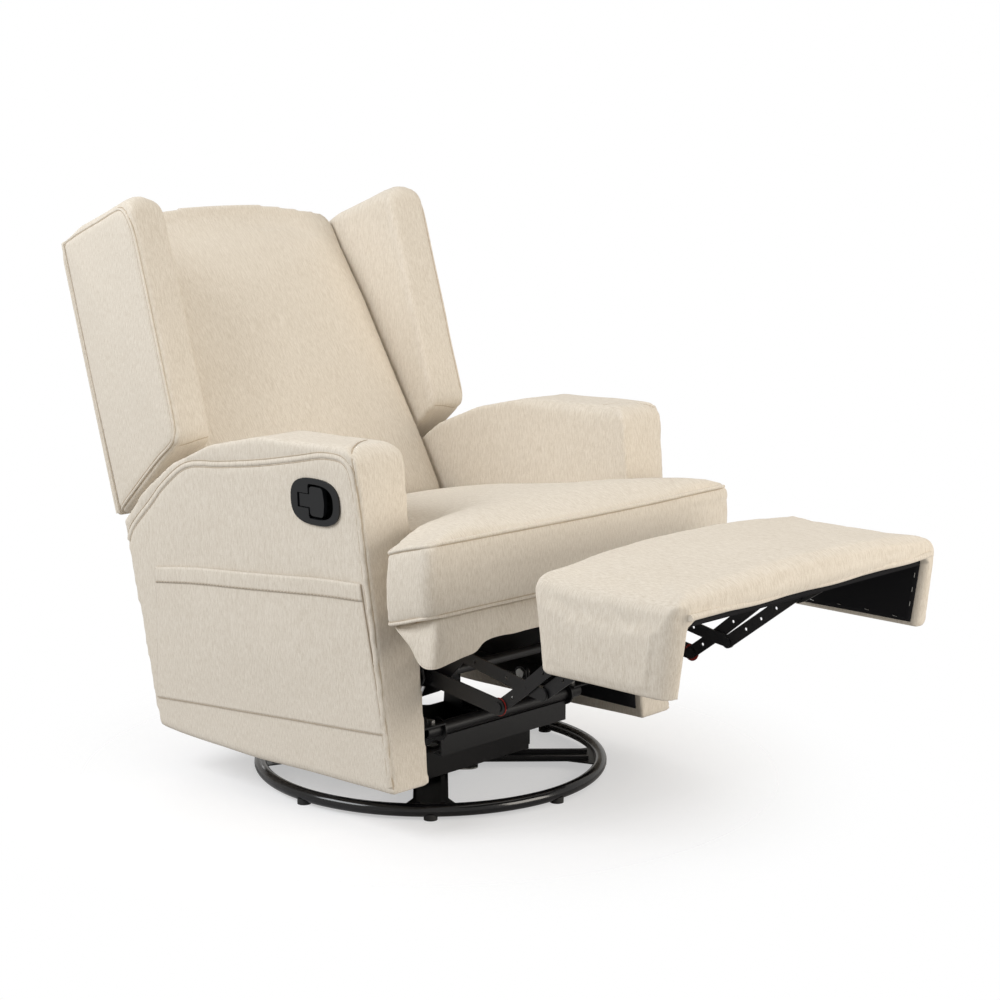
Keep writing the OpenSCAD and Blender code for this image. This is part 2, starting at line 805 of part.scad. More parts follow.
module mechanism_plate(s) {
    head_x = layer_x(1) + link_t + seat_gap;
    hinge_x = layer_x(1) + bracket_t + seat_gap;
    color(black_steel) on_side(s) {
        difference() {
            union() {
                side_plate(plate_x, link_t) polygon(rounded(plate_outline(), plate_radii));
                block(plate_foot_x, plate_x, -plate_foot_rear, plate_foot_front, plate_foot_z,
                    plate_foot_z + link_t);
                block(plate_foot_x, tongue_x, plate_foot_front, plate_foot_rear, plate_foot_z,
                    plate_foot_z + link_t);
                block(plate_x, plate_x + flange_out, -plate_flange_reach, plate_flange_reach,
                    plate_top_z - link_t, plate_top_z);
            }
            bar_x(lower_pivot, spindle_r + run_gap, plate_x - overrun, plate_x + link_t + overrun);
            if (s < 0) {
                bar_x(plate_cable_hole, plate_cable_hole_r, plate_x - overrun,
                    plate_x + link_t + overrun);
                bar_x(pawl_pivot, pawl_pin_r + run_gap, plate_x - overrun,
                    plate_x + link_t + overrun);
            }
            for (u = [-cross_tube_reach, cross_tube_reach])
                translate([mechanism_bolt_x, -u, plate_foot_z])
                    cylinder(r = bolt_r + run_gap, h = link_t * 4, center = true, $fn = hole_fn);
        }
        bar_x(upper_pivot, pin_r, plate_x + link_t, head_x);
        bar_x(upper_pivot, rivet_r, head_x, head_x + rivet_t);
        bar_x(hinge_pivot, hinge_pin_d / 2, plate_x + link_t, hinge_x);
        bar_x(hinge_pivot, hinge_head_d / 2, hinge_x, hinge_x + hinge_head_t);
    }
}

module mechanism_plate_right() { mechanism_plate(-1); }
module mechanism_plate_left() { mechanism_plate(1); }

module mechanism_bolts() {
    low = cross_tube_z;
    top = plate_foot_z + link_t;
    color(zinc) for (s = [-1, 1], u = [-cross_tube_reach, cross_tube_reach]) on_side(s)
        translate([mechanism_bolt_x, -u, 0]) {
            translate([0, 0, top]) cylinder(r = mechanism_head_r, h = mechanism_head_h, $fn = 6);
            translate([0, 0, low]) cylinder(r = bolt_r, h = top - low, $fn = hole_fn);
        }
}

// A link bar in layer k with pin bores and any wider or smaller holes, as [point, radius]
module link_bar(k, path, w, holes) {
    x = layer_x(k);
    difference() {
        side_plate(x, link_t) polygon(strap(path, w / 2));
        for (hole = holes) bar_x(hole[0], hole[1], x - overrun, x + link_t + overrun);
    }
}

function between(a, b, share) = a + (b - a) * share;

module upper_link(s) {
    bore = pin_r + run_gap;
    head_x = plate_x - seat_gap - rivet_t;
    color(black_steel) on_side(s) {
        link_bar(1, [upper_pivot, cross_pivot, control_pivot], link_w,
            [[upper_pivot, bore], [between(upper_pivot, cross_pivot, link_hole_share[0]), link_hole_r],
             [between(upper_pivot, cross_pivot, link_hole_share[2]), link_hole_r]]);
        bar_x(cross_pivot, pin_r, layer_x(1) + link_t, layer_x(2) + link_t + seat_gap);
        bar_x(control_pivot, pin_r, head_x, layer_x(1));
        bar_x(control_pivot, rivet_r, head_x, head_x + rivet_t);
        bar_x(control_pivot, bushing_r, layer_x(1) + link_t, layer_x(1) + link_t + washer_t);
    }
}

module cross_link(s) {
    bore = pin_r + run_gap;
    color(black_steel) on_side(s)
        link_bar(2, [open_pivot, cross_pivot, bracket_rear], link_w,
            [[cross_pivot, bore], [bracket_rear, bore], [open_pivot, open_hole_r],
             [between(open_pivot, cross_pivot, link_hole_share[1]), link_hole_r],
             [between(cross_pivot, bracket_rear, link_hole_share[0]), link_hole_r],
             [between(cross_pivot, bracket_rear, link_hole_share[2]), link_hole_r]]);
}

module lower_link(s) {
    head_x = layer_x(2) - seat_gap - rivet_t;
    color(black_steel) on_side(s) {
        link_bar(3, [lower_pivot, open_pivot], lower_link_w, [[lower_pivot, spindle_r + run_gap]]);
        bar_x(open_pivot, pin_r, head_x, layer_x(3));
        bar_x(open_pivot, open_head_r, head_x, head_x + rivet_t);
        bar_x(open_pivot, rivet_r, layer_x(3) + link_t, layer_x(3) + link_t + rivet_t);
    }
}

module control_link(s) {
    color(black_steel) on_side(s)
        link_bar(0, [control_pivot, bracket_front], link_w,
            [[control_pivot, pin_r + run_gap], [bracket_front, open_hole_r],
             [between(control_pivot, bracket_front, link_hole_share[0]), link_hole_r],
             [between(control_pivot, bracket_front, link_hole_share[1]), link_hole_r],
             [between(control_pivot, bracket_front, link_hole_share[2]), link_hole_r]]);
}

module upper_link_right() { upper_link(-1); }
module upper_link_left() { upper_link(1); }
module cross_link_right() { cross_link(-1); }
module cross_link_left() { cross_link(1); }
module lower_link_right() { lower_link(-1); }
module lower_link_left() { lower_link(1); }
module control_link_right() { control_link(-1); }
module control_link_left() { control_link(1); }

module washer(p, bore_r) {
    x = layer_x(3) - seat_gap / 2 - washer_t;
    difference() {
        bar_x(p, washer_r, x, x + washer_t);
        bar_x(p, bore_r, x - overrun, x + washer_t + overrun);
    }
}

module lower_link_washers() {
    color(red_plastic) for (s = [-1, 1]) on_side(s) {
        washer(lower_pivot, spindle_r + run_gap);
        washer(open_pivot, pin_r + run_gap);
    }
}

module torque_tube() {
    inner = plate_x - glide_gap;
    outer = layer_x(3) + link_t + seat_gap;
    color(black_steel) {
        bar_x(lower_pivot, torque_r, -inner, inner);
        bar_x(lower_pivot, spindle_r, -outer, outer);
        for (s = [-1, 1]) on_side(s)
            bar_x(lower_pivot, torque_r, outer, outer + rivet_t);
        bar_x(lower_pivot, sector_r, -pawl_x - sector_t + glide_gap, -pawl_x + glide_gap);
    }
}

module release_pawl() {
    color(zinc) on_side(-1) {
        side_plate(pawl_x, pawl_t) polygon(strap([pawl_tail, pawl_pivot, pawl_tip], pawl_w / 2));
        bar_x(pawl_pivot, pawl_pin_r, pawl_x, plate_x + link_t + seat_gap);
        bar_x(pawl_pivot, pawl_w / 2, pawl_x + pawl_t, plate_x - seat_gap);
    }
}

// A torsion spring wound round the pawl's boss, with a leg at each end
module pawl_spring() {
    x0 = pawl_x + pawl_t + wire_d / 2 + seat_gap;
    x1 = plate_x - wire_d / 2 - seat_gap;
    r = pawl_w / 2 + wire_d / 2 + seat_gap;
    steps = round(coil_turns * coil_steps);
    coil = [for (i = [0:steps])
        let (p = on_circle(pawl_pivot, r, coil_start + 360 * coil_turns * i / steps))
        [x0 + (x1 - x0) * i / steps, -p[0], p[1]]];
    leg = function(p, a) p + coil_leg * [0, -cos(a), sin(a)];
    first = leg(coil[0], coil_start - 90);
    last = leg(coil[steps], coil_start + 360 * coil_turns + 90);
    color(zinc) on_side(-1) tube_along(concat([first], coil, [last]), wire_d, coil_sides);
}

// Seat

module seat_frame() {
    outer = frame_side;
    inner = frame_side - rail_t;
    color(wood) difference() {
        union() {
            block(-outer, outer, frame_front - rail_t, frame_front, frame_z, frame_z + rail_h);
            block(-outer, outer, -frame_rear, rail_t - frame_rear, frame_z, frame_z + rail_h);
            for (s = [-1, 1]) on_side(s)
                block(inner, outer, -frame_rear, frame_front, frame_z, frame_z + rail_h);
        }
        for (u = frame_bolt_places)
            bar_x([u, frame_bolt_z], bolt_r, -outer - overrun, outer + overrun);
    }
}

module seat_webbing() {
    span = frame_rear + frame_front - rail_t;
    color(black_cloth) {
        for (i = [0:straps_long - 1]) {
            x = (i - (straps_long - 1) / 2) * inner_w / (straps_long + 1);
            block(x - strap_w / 2, x + strap_w / 2, strap_end - frame_rear,
                frame_front - strap_end, deck_z, deck_z + strap_t);
        }
        for (i = [0:straps_cross - 1]) {
            u = (i + 1) * span / (straps_cross + 1) - frame_rear;
            block(strap_end - frame_side, frame_side - strap_end, u - strap_w / 2,
                u + strap_w / 2, deck_z + strap_t, deck_z + 2 * strap_t);
        }
    }
}

// Plan of the cushion, [x, back], with a pointed ear in front of each arm
function cushion_outline() =
    let (half = cushion_half, front = -cushion_front, ear = -ear_back, tip = front + ear_side_d)
    rounded(
        [[half, tip], [cushion_side, ear], [cushion_side, cushion_rear], [-cushion_side, cushion_rear],
         [-cushion_side, ear], [-half, tip], [-half, front], [0, front - cushion_bow],
         [half, front]],
        [ear_back_r, ear_r_inner, cushion_rear_r, cushion_rear_r, ear_r_inner, ear_back_r, ear_r,
         cushion_bow_r, ear_r], 5);

// Height of the lower seam, which rises in front of the seat frame
function base_seam(y) =
    cushion_z + cushion_lift * max(0, (-y - frame_front) / (cushion_front - frame_front));

// Height of the top seam, which falls from the front to the rear
function top_seam(y) =
    cushion_z + cushion_rear_h + (cushion_lift + boxing_h - cushion_rear_h)
    * (cushion_rear - y) / (cushion_rear + cushion_front);

// How far an ear hangs down towards its rear tip, which nothing carries
function droop(q) =
    let (start = inner_w / 2 + ear_firm)
    let (out = max(0, (abs(q[0]) - start) / (cushion_half - start)))
    ear_droop * out * pow(min(1, max(0, (q[1] + cushion_front) / ear_side_d)), 2);

module seat_cushion() {
    outline = cushion_outline();
    centre = [0, -cushion_centre];
    grown = function(p, k) centre + k * (p - centre);
    wall = [for (row = cushion_wall_shares)
        [for (p = outline)
            let (q = grown(p, row[0]), low = base_seam(q[1]))
            [q[0], q[1], low + (top_seam(q[1]) - low) * row[1] - droop(q)]]];
    top = [for (k = cushion_top_shares)
        [for (p = outline)
            let (q = grown(p, k), rise = cushion_crown * (1 - pow(k, cushion_crown_power)))
            [q[0], q[1], top_seam(q[1]) + rise - droop(q)]]];
    peak = [0, -cushion_centre, top_seam(-cushion_centre) + cushion_crown];
    color(fabric) lofted(concat(wall, top), [0, -cushion_centre, cushion_z], peak);
}

// A hanging cloth, carried by a strip that runs out over the frame's front rail
module seat_skirt() {
    front = cushion_front - skirt_inset;
    top = base_seam(skirt_t - front) - seat_gap;
    flat = cushion_z - seat_gap;
    start = frame_front - strap_end + seat_gap;
    steps = 16;
    hem = [for (i = [0:steps])
        let (share = 2 * i / steps - 1)
        [share * skirt_half_w, top - skirt_h + skirt_rise * (1 - share * share)]];
    color(fabric_shade) {
        translate([0, skirt_t - front, 0]) rotate([90, 0, 0]) linear_extrude(skirt_t)
            polygon(concat(hem, [[skirt_half_w, top], [-skirt_half_w, top]]));
        side_plate(-frame_side, 2 * frame_side)
            polygon([[start, deck_z], [frame_front, deck_z], [front - skirt_t / 2, top - flat + deck_z],
                [front - skirt_t / 2, top], [frame_front, flat], [start, flat]]);
    }
}

// Arms

function arm_front_at(z) = arm_front - arm_front_lean * (z - arm_foot_z) / arm_h;
function arm_rear_at(z) = arm_rear + arm_rear_lean * (z - arm_foot_z) / arm_shoulder_h;

function arm_outline() =
    let (top = arm_foot_z + arm_h, shoulder = arm_foot_z + arm_shoulder_h)
    let (knee = [arm_knee, top - arm_knee_drop], rear = [-arm_rear - arm_rear_lean, shoulder])
    let (slope = [for (i = [0:2])
        [between(knee[0], rear[0], arm_slope_u_share[i]),
         between(rear[1], knee[1], arm_slope_z_share[i])]])
    rounded(
        concat([[arm_front, arm_foot_z], [arm_front - arm_front_lean, top], knee], slope,
            [rear, [-arm_rear, arm_foot_z]]),
        [arm_foot_r, arm_front_top_r, arm_slope_r, arm_slope_r, arm_slope_r, arm_slope_r,
         arm_foot_r, arm_foot_r]);

// Front view of an arm, [x, z]
function arm_section() =
    let (top = arm_foot_z + arm_h, outer = arm_x + arm_t)
    rounded([[arm_x, arm_foot_z], [outer, arm_foot_z], [outer + arm_flare, top], [arm_x, top]],
        [arm_foot_r, arm_foot_r, arm_edge_r, arm_top_r], 8);

module arm_frame_solid(extra) {
    x0 = arm_frame_x - extra;
    x1 = arm_frame_x + arm_frame_t + extra;
    front = arm_front - arm_front_lean - arm_frame_inset + extra;
    rear = -arm_rear + arm_frame_inset - extra;
    low = arm_foot_z + arm_frame_inset - extra;
    high = arm_foot_z + arm_frame_top + extra;
    post = arm_post_w + 2 * extra;
    rail = arm_rail_h + 2 * extra;
    block(x0, x1, front - post, front, low, high);
    block(x0, x1, rear, rear + post, low, arm_rear_post_top + extra);
    block(x0, x1, rear, front, low, low + rail);
    block(x0, x1, rear, front, frame_z - extra, frame_z + rail_h + extra);
    block(x0, x1, arm_top_rail_rear - extra, front, high - rail, high);
}

module arm_frame(s) {
    color(wood) on_side(s) difference() {
        arm_frame_solid(0);
        for (u = frame_bolt_places)
            bar_x([u, frame_bolt_z], bolt_r, arm_frame_x - overrun, arm_frame_x + arm_frame_t / 2);
    }
}

// The outer face of the right arm: x runs forward, y up the face, z outward
module on_outer_face() {
    translate([-arm_x - arm_t, 0, arm_foot_z]) rotate([0, -flare_a, 0]) rotate([90, 0, -90])
        children();
}

module at_handle() {
    on_outer_face() translate([handle_u, handle_up, 0]) children();
}

module arm_cover(s) {
    color(fabric) difference() {
        on_side(s) intersection() {
            side_plate(arm_x, arm_t + arm_flare + overrun) polygon(arm_outline());
            translate([0, arm_front * 2, 0]) rotate([90, 0, 0])
                linear_extrude(arm_front * 4) polygon(arm_section());
        }
        on_side(s) {
            arm_frame_solid(seat_gap);
            for (u = frame_bolt_places)
                bar_x([u, frame_bolt_z], bolt_r, arm_x - overrun, arm_frame_x);
        }
        if (s < 0) {
            at_handle() translate([0, 0, -cup_depth - seat_gap])
                linear_extrude(cup_depth + bezel_t + overrun)
                    polygon(oval(bezel_w - 2 * cup_inset + 2 * seat_gap,
                        bezel_h - 2 * cup_inset + 2 * seat_gap));
            high = [cable_duct_u, cable_duct_high];
            low = [cable_duct_u, cable_duct_low];
            bar_x(high, cable_duct_r, -cable_duct_x - arm_frame_t, -cable_duct_x);
            bar_x(low, cable_duct_r, -cable_duct_x, -arm_x + overrun);
            translate([-cable_duct_x, -cable_duct_u, cable_duct_low - cable_duct_r])
                cylinder(r = cable_duct_r, h = cable_duct_high - cable_duct_low + 2 * cable_duct_r,
                    $fn = round_fn);
        }
    }
}

module arm_frame_right() { arm_frame(-1); }
module arm_frame_left() { arm_frame(1); }
module arm_cover_right() { arm_cover(-1); }
module arm_cover_left() { arm_cover(1); }

module arm_dust_covers() {
    x1 = arm_x - seat_gap / 3;
    low = arm_foot_z + dust_inset;
    outline = [
        [arm_front_at(low) - dust_inset, low], [arm_front_at(dust_top) - dust_inset, dust_top],
        [dust_inset - arm_rear_at(dust_top), dust_top], [dust_inset - arm_rear_at(low), low]];
    color(black_cloth) for (s = [-1, 1]) on_side(s) difference() {
        side_plate(x1 - dust_t, dust_t) polygon(outline);
        bar_x([cable_duct_u, cable_duct_low], cable_duct_r, x1 - dust_t - overrun, x1 + overrun);
    }
}

// The pocket's front and rear edges run beside the arm's own, by height above its foot
function pocket_front_at(v, e) = arm_front_at(arm_foot_z + v) - pocket_edge - e;
function pocket_rear_at(v, e) = e + pocket_edge - arm_rear_at(arm_foot_z + v);

function pocket_outline(e) =
    let (rise = e > 0 ? overrun : 0)
    [[pocket_rear_at(pocket_low_rear, e), pocket_low_rear + e],
     [pocket_front_at(pocket_low, e), pocket_low + e],
     [pocket_front_at(pocket_high_front, e), pocket_high_front + rise],
     [pocket_rear_at(pocket_high_rear, e), pocket_high_rear + rise]];

module side_pocket() {
    radii = [pocket_corner_r, pocket_corner_r, 0, 0];
    top = pocket_gap + pocket_t;
    inset = pocket_hem_inset;
    front_high = pocket_high_front - inset;
    rear_high = pocket_high_rear - inset;
    front_low = front_high - pocket_hem_h;
    rear_low = rear_high - pocket_hem_h;
    hem = [[pocket_rear_at(rear_low, inset), rear_low], [pocket_front_at(front_low, inset), front_low],
        [pocket_front_at(front_high, inset), front_high], [pocket_rear_at(rear_high, inset), rear_high]];
    color(fabric) on_outer_face() translate([0, 0, seat_gap / 3]) difference() {
        union() {
            linear_extrude(top) polygon(rounded(pocket_outline(0), radii));
            translate([0, 0, pocket_gap]) linear_extrude(pocket_t + pocket_hem_t) polygon(hem);
        }
        translate([0, 0, -overrun]) linear_extrude(pocket_gap + overrun)
            polygon(rounded(pocket_outline(pocket_welt), radii));
    }
}

module rear_panel() {
    low = rear_panel_low;
    high = rear_panel_high;
    u_low = rear_panel_inset - arm_rear_at(low);
    u_high = rear_panel_inset - arm_rear_at(high);
    half = arm_x - seat_gap;
    color(fabric) side_plate(-half, 2 * half)
        polygon([[u_low, low], [u_low + rear_panel_t, low], [u_high + rear_panel_t, high],
            [u_high, high]]);
}

// Handle

// The face opening: the paddle's outline with room round it, and the finger recess in front
module face_opening() {
    polygon([[stem_rear - stem_room, -stem_h / 2 - paddle_room],
        [head_rear - paddle_room, -stem_h / 2 - paddle_room],
        [head_rear - paddle_room, -head_h / 2 - paddle_room], [head_front, -head_h / 2 - paddle_room],
        [head_front, head_h / 2 + paddle_room], [head_rear - paddle_room, head_h / 2 + paddle_room],
        [head_rear - paddle_room, stem_h / 2 + paddle_room],
        [stem_rear - stem_room, stem_h / 2 + paddle_room]]);
    intersection() {
        polygon(oval(recess_reach * 2, head_h + 2 * paddle_room + recess_extra_h));
        translate([head_rear, -head_h]) square([recess_reach * 2, head_h * 2]);
    }
}

module handle_bezel() {
    cup_w = bezel_w - 2 * cup_inset;
    cup_h = bezel_h - 2 * cup_inset;
    color(black_plastic) at_handle() difference() {
        union() {
            linear_extrude(bezel_t) polygon(oval(bezel_w, bezel_h));
            translate([0, 0, -cup_depth]) linear_extrude(cup_depth) polygon(oval(cup_w, cup_h));
        }
        translate([0, 0, cup_wall - cup_depth]) linear_extrude(cup_depth - cup_wall)
            polygon(oval(cup_w - 2 * cup_wall, cup_h - 2 * cup_wall));
        translate([0, 0, -overrun]) linear_extrude(bezel_t + 2 * overrun) face_opening();
        paddle_axle(paddle_pin_r);
    }
}

module paddle_axle(r) {
    translate([paddle_axis, 0, -paddle_drop]) rotate([90, 0, 0])
        cylinder(r = r, h = 2 * paddle_pin_half, center = true, $fn = hole_fn);
}

module paddle_pin() {
    color(zinc) at_handle() paddle_axle(paddle_pin_r);
}

module paddle_outline(rear) {
    polygon(rounded(
        [[rear, -stem_h / 2], [head_rear, -stem_h / 2], [head_rear, -head_h / 2],
         [head_front - head_lean, -head_h / 2], [head_front, 0], [head_front - head_lean, head_h / 2],
         [head_rear, head_h / 2], [head_rear, stem_h / 2], [rear, stem_h / 2]],
        [0, 0, head_r, head_r, head_front_r, head_r, head_r, 0, 0]));
}

module release_paddle() {
    base = -paddle_drop + paddle_t / 2;
    color(black_plastic) at_handle() difference() {
        union() {
            translate([paddle_axis, 0, -paddle_drop]) rotate([90, 0, 0])
                cylinder(r = paddle_hub_r, h = stem_h, center = true, $fn = round_fn);
            translate([0, 0, base - paddle_t / 2]) linear_extrude(paddle_t)
                paddle_outline(paddle_axis);
            translate([0, 0, base]) linear_extrude(paddle_face_z - base) paddle_outline(stem_rear);
        }
        paddle_axle(paddle_pin_r + run_gap);
    }
}

module release_cable() {
    color(black_plastic)
        tube_along([for (p = cable_route) [p[0], -p[1], p[2]]], cable_d, cable_sides);
}

module cable_sleeve() {
    length = norm(sleeve_high - sleeve_low);
    lean = heading(sleeve_low, sleeve_high);
    middle = (sleeve_low + sleeve_high) / 2;
    wall_x = arm_x - seat_gap / 3 - dust_t - seat_gap;
    color(zinc) difference() {
        union() {
            translate([-sleeve_x, -sleeve_low[0], sleeve_low[1]]) rotate([90 - lean, 0, 0])
                cylinder(r = sleeve_r, h = length, $fn = round_fn);
            block(-wall_x, -sleeve_x, middle[0] - clip_w / 2, middle[0] + clip_w / 2,
                middle[1] - clip_h / 2, middle[1] + clip_h / 2);
        }
        translate([-sleeve_x, -sleeve_low[0], sleeve_low[1]]) rotate([90 - lean, 0, 0])
            translate([0, 0, -length]) cylinder(r = cable_d / 2 + seat_gap, h = 3 * length,
                $fn = round_fn);
    }
}

// Footrest

module footrest_brackets() {
    rear = bracket_rear;
    front = bracket_front;
    outline = rounded(
        [[rear[0] - bracket_rear_end, bracket_top], [bracket_reach, bracket_top],
         [bracket_reach, bracket_top - bracket_nose_h],
         [front[0] + bracket_front_end, front[1] - bracket_front_drop],
         [front[0] + bracket_heel, front[1] - bracket_heel_drop],
         [rear[0] - bracket_rear_end, rear[1] - bracket_rear_drop]],
        bracket_radii);
    open_x = layer_x(0) - seat_gap;
    head_x = layer_x(2) + link_t + seat_gap;
    color(black_steel) for (s = [-1, 1]) on_side(s) {
        side_plate(layer_x(1), link_t) polygon(outline);
        block(layer_x(1), layer_x(1) + flange_out, rear[0] - bracket_rear_end, bracket_reach,
            bracket_top - link_t, bracket_top);
        bar_x(rear, pin_r, layer_x(1) + link_t, head_x);
        bar_x(rear, rivet_r, head_x, head_x + rivet_t);
        bar_x(front, pin_r, open_x, layer_x(1));
        bar_x(front, open_head_r, open_x - rivet_t, open_x);
    }
}

function footrest_rear_at(z) = footrest_rear + flap_taper_rear * (footrest_z - z) / flap_h;
function footrest_front_at(z) =
    footrest_rear + footrest_d - flap_taper_front * (footrest_z - z) / flap_h;

module footrest_board() {
    half = footrest_w / 2 - flap_t - seat_gap - cloth_t;
    top = footrest_z - pad_t - seat_gap;
    color(wood) block(-half, half, footrest_rear + board_inset,
        footrest_rear + footrest_d - board_inset, top - board_t, top);
}

module footrest_dust_cloth() {
    half = footrest_w / 2 - flap_t - seat_gap;
    top = footrest_z - pad_t - board_t - 2 * seat_gap;
    low = footrest_z - flap_h + cloth_inset;
    back = footrest_rear_at(low) + cloth_inset;
    front = footrest_front_at(low) - cloth_inset;
    color(black_cloth) difference() {
        block(-half, half, back, front, low, top);
        block(cloth_t - half, half - cloth_t, back - overrun, front + overrun, low - overrun,
            top - cloth_t);
    }
}

// Section of the pad, [x, z], drawn in by e on its outer side; the walk back is its inner side
function pad_outer(e) =
    let (half = footrest_w / 2 - e, top = footrest_z - e, low = footrest_z - flap_h)
    let (right = concat(
        [[half - pad_hem_r, low], [half, low + pad_hem_r]],
        [for (i = [0:8]) on_circle([half - pad_r, top - pad_r], pad_r, 90 * i / 8)]))
    let (crown = [for (i = [1:5])
        let (share = 1 - i / 3)
        [share * (half - pad_r), top + pad_crown * (1 - share * share)]])
    let (m = len(right) - 1)
    concat(right, crown, [for (i = [m:-1:0]) [-right[i][0], right[i][1]]]);

function pad_inner() =
    let (half = footrest_w / 2 - flap_t, top = footrest_z - pad_t, low = footrest_z - flap_h)
    let (left = concat([[-half, low], [-half, low + pad_hem_r]],
        [for (i = [0:8]) on_circle([pad_inner_r - half, top - pad_inner_r], pad_inner_r,
            180 - 90 * i / 8)]))
    let (flat = [for (i = [1:5]) [(i / 3 - 1) * (half - pad_inner_r), top]])
    let (m = len(left) - 1)
    concat(left, flat, [for (i = [m:-1:0]) [-left[i][0], left[i][1]]]);

module footrest_pad() {
    inner = pad_inner();
    n = len(inner);
    m = len(pad_edge_shares);
    rings = [for (row = pad_edge_shares)
        [for (p = concat(pad_outer(row[1] * pad_edge_r), inner))
            let (back = footrest_rear_at(p[1]), front = footrest_front_at(p[1]))
            [p[0], -between(back, front, row[0]), p[1]]]];
    points = [for (ring = rings) each ring];
    loop = 2 * n;
    sides = [for (j = [0:m - 2]) for (i = [0:loop - 1])
        let (a = j * loop + i, b = j * loop + (i + 1) % loop)
        each [[a, b + loop, b], [a, a + loop, b + loop]]];
    last = (m - 1) * loop;
    caps = [for (i = [0:n - 2])
        let (o = i, p = loop - 1 - i)
        each [[o, o + 1, p - 1], [o, p - 1, p], [last + o, last + p, last + p - 1],
            [last + o, last + p - 1, last + o + 1]]];
    color(fabric) polyhedron(points, concat(sides, caps), convexity = 6);
}

// Back, drawn in a frame that leans with it: [x, back, up] from the hinge axis

module in_back() {
    translate([0, hinge_back, hinge_z]) rotate([-back_tilt, 0, 0]) children();
}

module back_box(x0, x1, w0, w1, v0, v1) {
    translate([x0, w0, v0]) cube([x1 - x0, w1 - w0, v1 - v0]);
}

module back_frame() {
    w0 = back_frame_back - back_frame_t;
    w1 = back_frame_back;
    outer = wing_x - seat_gap;
    inner = outer - back_post_w;
    slot_x = layer_x(1) - seat_gap;
    color(wood) in_back() difference() {
        union() {
            for (s = [-1, 1]) on_side(s)
                back_box(inner, outer, w0, w1, back_frame_low, back_frame_high);
            for (v = [back_frame_low, (back_frame_low + back_frame_high - back_rail_w) / 2,
                    back_frame_high - back_rail_w])
                back_box(-outer, outer, w0, w1, v, v + back_rail_w);
        }
        for (s = [-1, 1]) on_side(s)
            back_box(slot_x, slot_x + bracket_t + 2 * seat_gap, w0 - overrun, w1 + overrun,
                -overrun, bracket_up + bracket_w / 2 + seat_gap);
    }
}

module back_brackets() {
    x = layer_x(1);
    middle = back_frame_back - back_frame_t / 2;
    path = [[0, 0], [-middle + bracket_turn, bracket_turn_up], [-middle, bracket_turn + bracket_turn_up],
        [-middle, bracket_up]];
    color(black_steel) for (s = [-1, 1]) on_side(s) in_back() difference() {
        side_plate(x, bracket_t) polygon(strap(path, bracket_w / 2));
        bar_x([0, 0], hinge_pin_d / 2 + run_gap, x - overrun, x + bracket_t + overrun);
    }
}

function back_front_at(v) =
    min(between(back_low_front, back_root_top_back, (v - back_low) / (back_root_top - back_low)),
        back_frame_back - back_frame_t - back_least_t);

// The lower front edge dips behind the seat cushion as a nose
module back_cushion() {
    corners = [[-back_side, back_low], [back_side, back_low], [back_side, back_root_top],
        [0, back_root_top + back_crown], [-back_side, back_root_top]];
    radii = [back_low_r, back_low_r, back_corner_r, back_crown_r, back_corner_r];
    rear = back_frame_back - back_frame_t - seat_gap;
    outline = rounded(corners, radii, 8);
    centre = [0, (back_low + back_root_top) / 2];
    grown = function(p, k) centre + k * (p - centre);
    nosed = function(p, share)
        [p[0], p[1] - share * back_nose * max(0, 1 - (p[1] - back_low) / back_nose_reach)];
    edge = [for (row = back_edge_shares)
        [for (q = rounded(inset_outline(corners, row[1] * back_edge_r), radii, 8))
            let (p = nosed(q, row[2]))
            [p[0], between(rear, back_front_at(p[1]), row[0]), p[1]]]];
    rim = [for (p = rounded(inset_outline(corners, back_edge_r), radii, 8)) nosed(p, 1)];
    face = [for (k = back_face_shares)
        [for (p = rim)
            let (q = grown(p, k))
            [q[0], back_front_at(q[1]) - back_bulge * (1 - pow(k, back_bulge_power)), q[1]]]];
    first = [0, rear, centre[1]];
    last = [0, back_front_at(centre[1]) - back_bulge, centre[1]];
    color(fabric) in_back() lofted(concat(edge, face), first, last);
}

function wing_outline() =
    let (fade = wing_rear - wing_rise_fade, share = wing_rise_fade / wing_depth)
    [[wing_rear - wing_depth, wing_low_front], [wing_rear, wing_low_rear],
     [wing_rear, wing_top - wing_rear_drop],
     [fade, wing_top - wing_rear_drop * (1 - share) + wing_top_bow],
     [wing_rear - wing_depth, wing_top]];

// The middle of a wing's thickness rises over its top edge, less towards the rear
function risen(p, share) =
    let (high = max(0, 1 - (wing_top - p[1]) / wing_rise_reach))
    [p[0], p[1] + wing_rise * share * high * min(1, (wing_rear - p[0]) / wing_rise_fade)];

module wing(s) {
    corners = wing_outline();
    radii = [wing_corner_r, wing_rear_r, wing_rear_r, 0, wing_corner_r];
    centre = [wing_rear - wing_depth / 2, (wing_top + wing_low_front) / 2];
    edge = [for (row = wing_edge_shares)
        [for (q = rounded(inset_outline(corners, row[1] * wing_edge_r), radii))
            let (p = risen(q, row[2]))
            [wing_x + row[0] * wing_t, p[0], p[1]]]];
    rim = rounded(inset_outline(corners, wing_edge_r), radii);
    face = [for (k = wing_face_shares)
        [for (p = rim)
            [wing_x + wing_t + wing_crown * (1 - k * k), between(centre[0], p[0], k),
             between(centre[1], p[1], k)]]];
    color(fabric) on_side(s) in_back()
        lofted(concat(edge, face), [wing_x, centre[0], centre[1]],
            [wing_x + wing_t + wing_crown, centre[0], centre[1]]);
}

module wing_right() { wing(-1); }
module wing_left() { wing(1); }

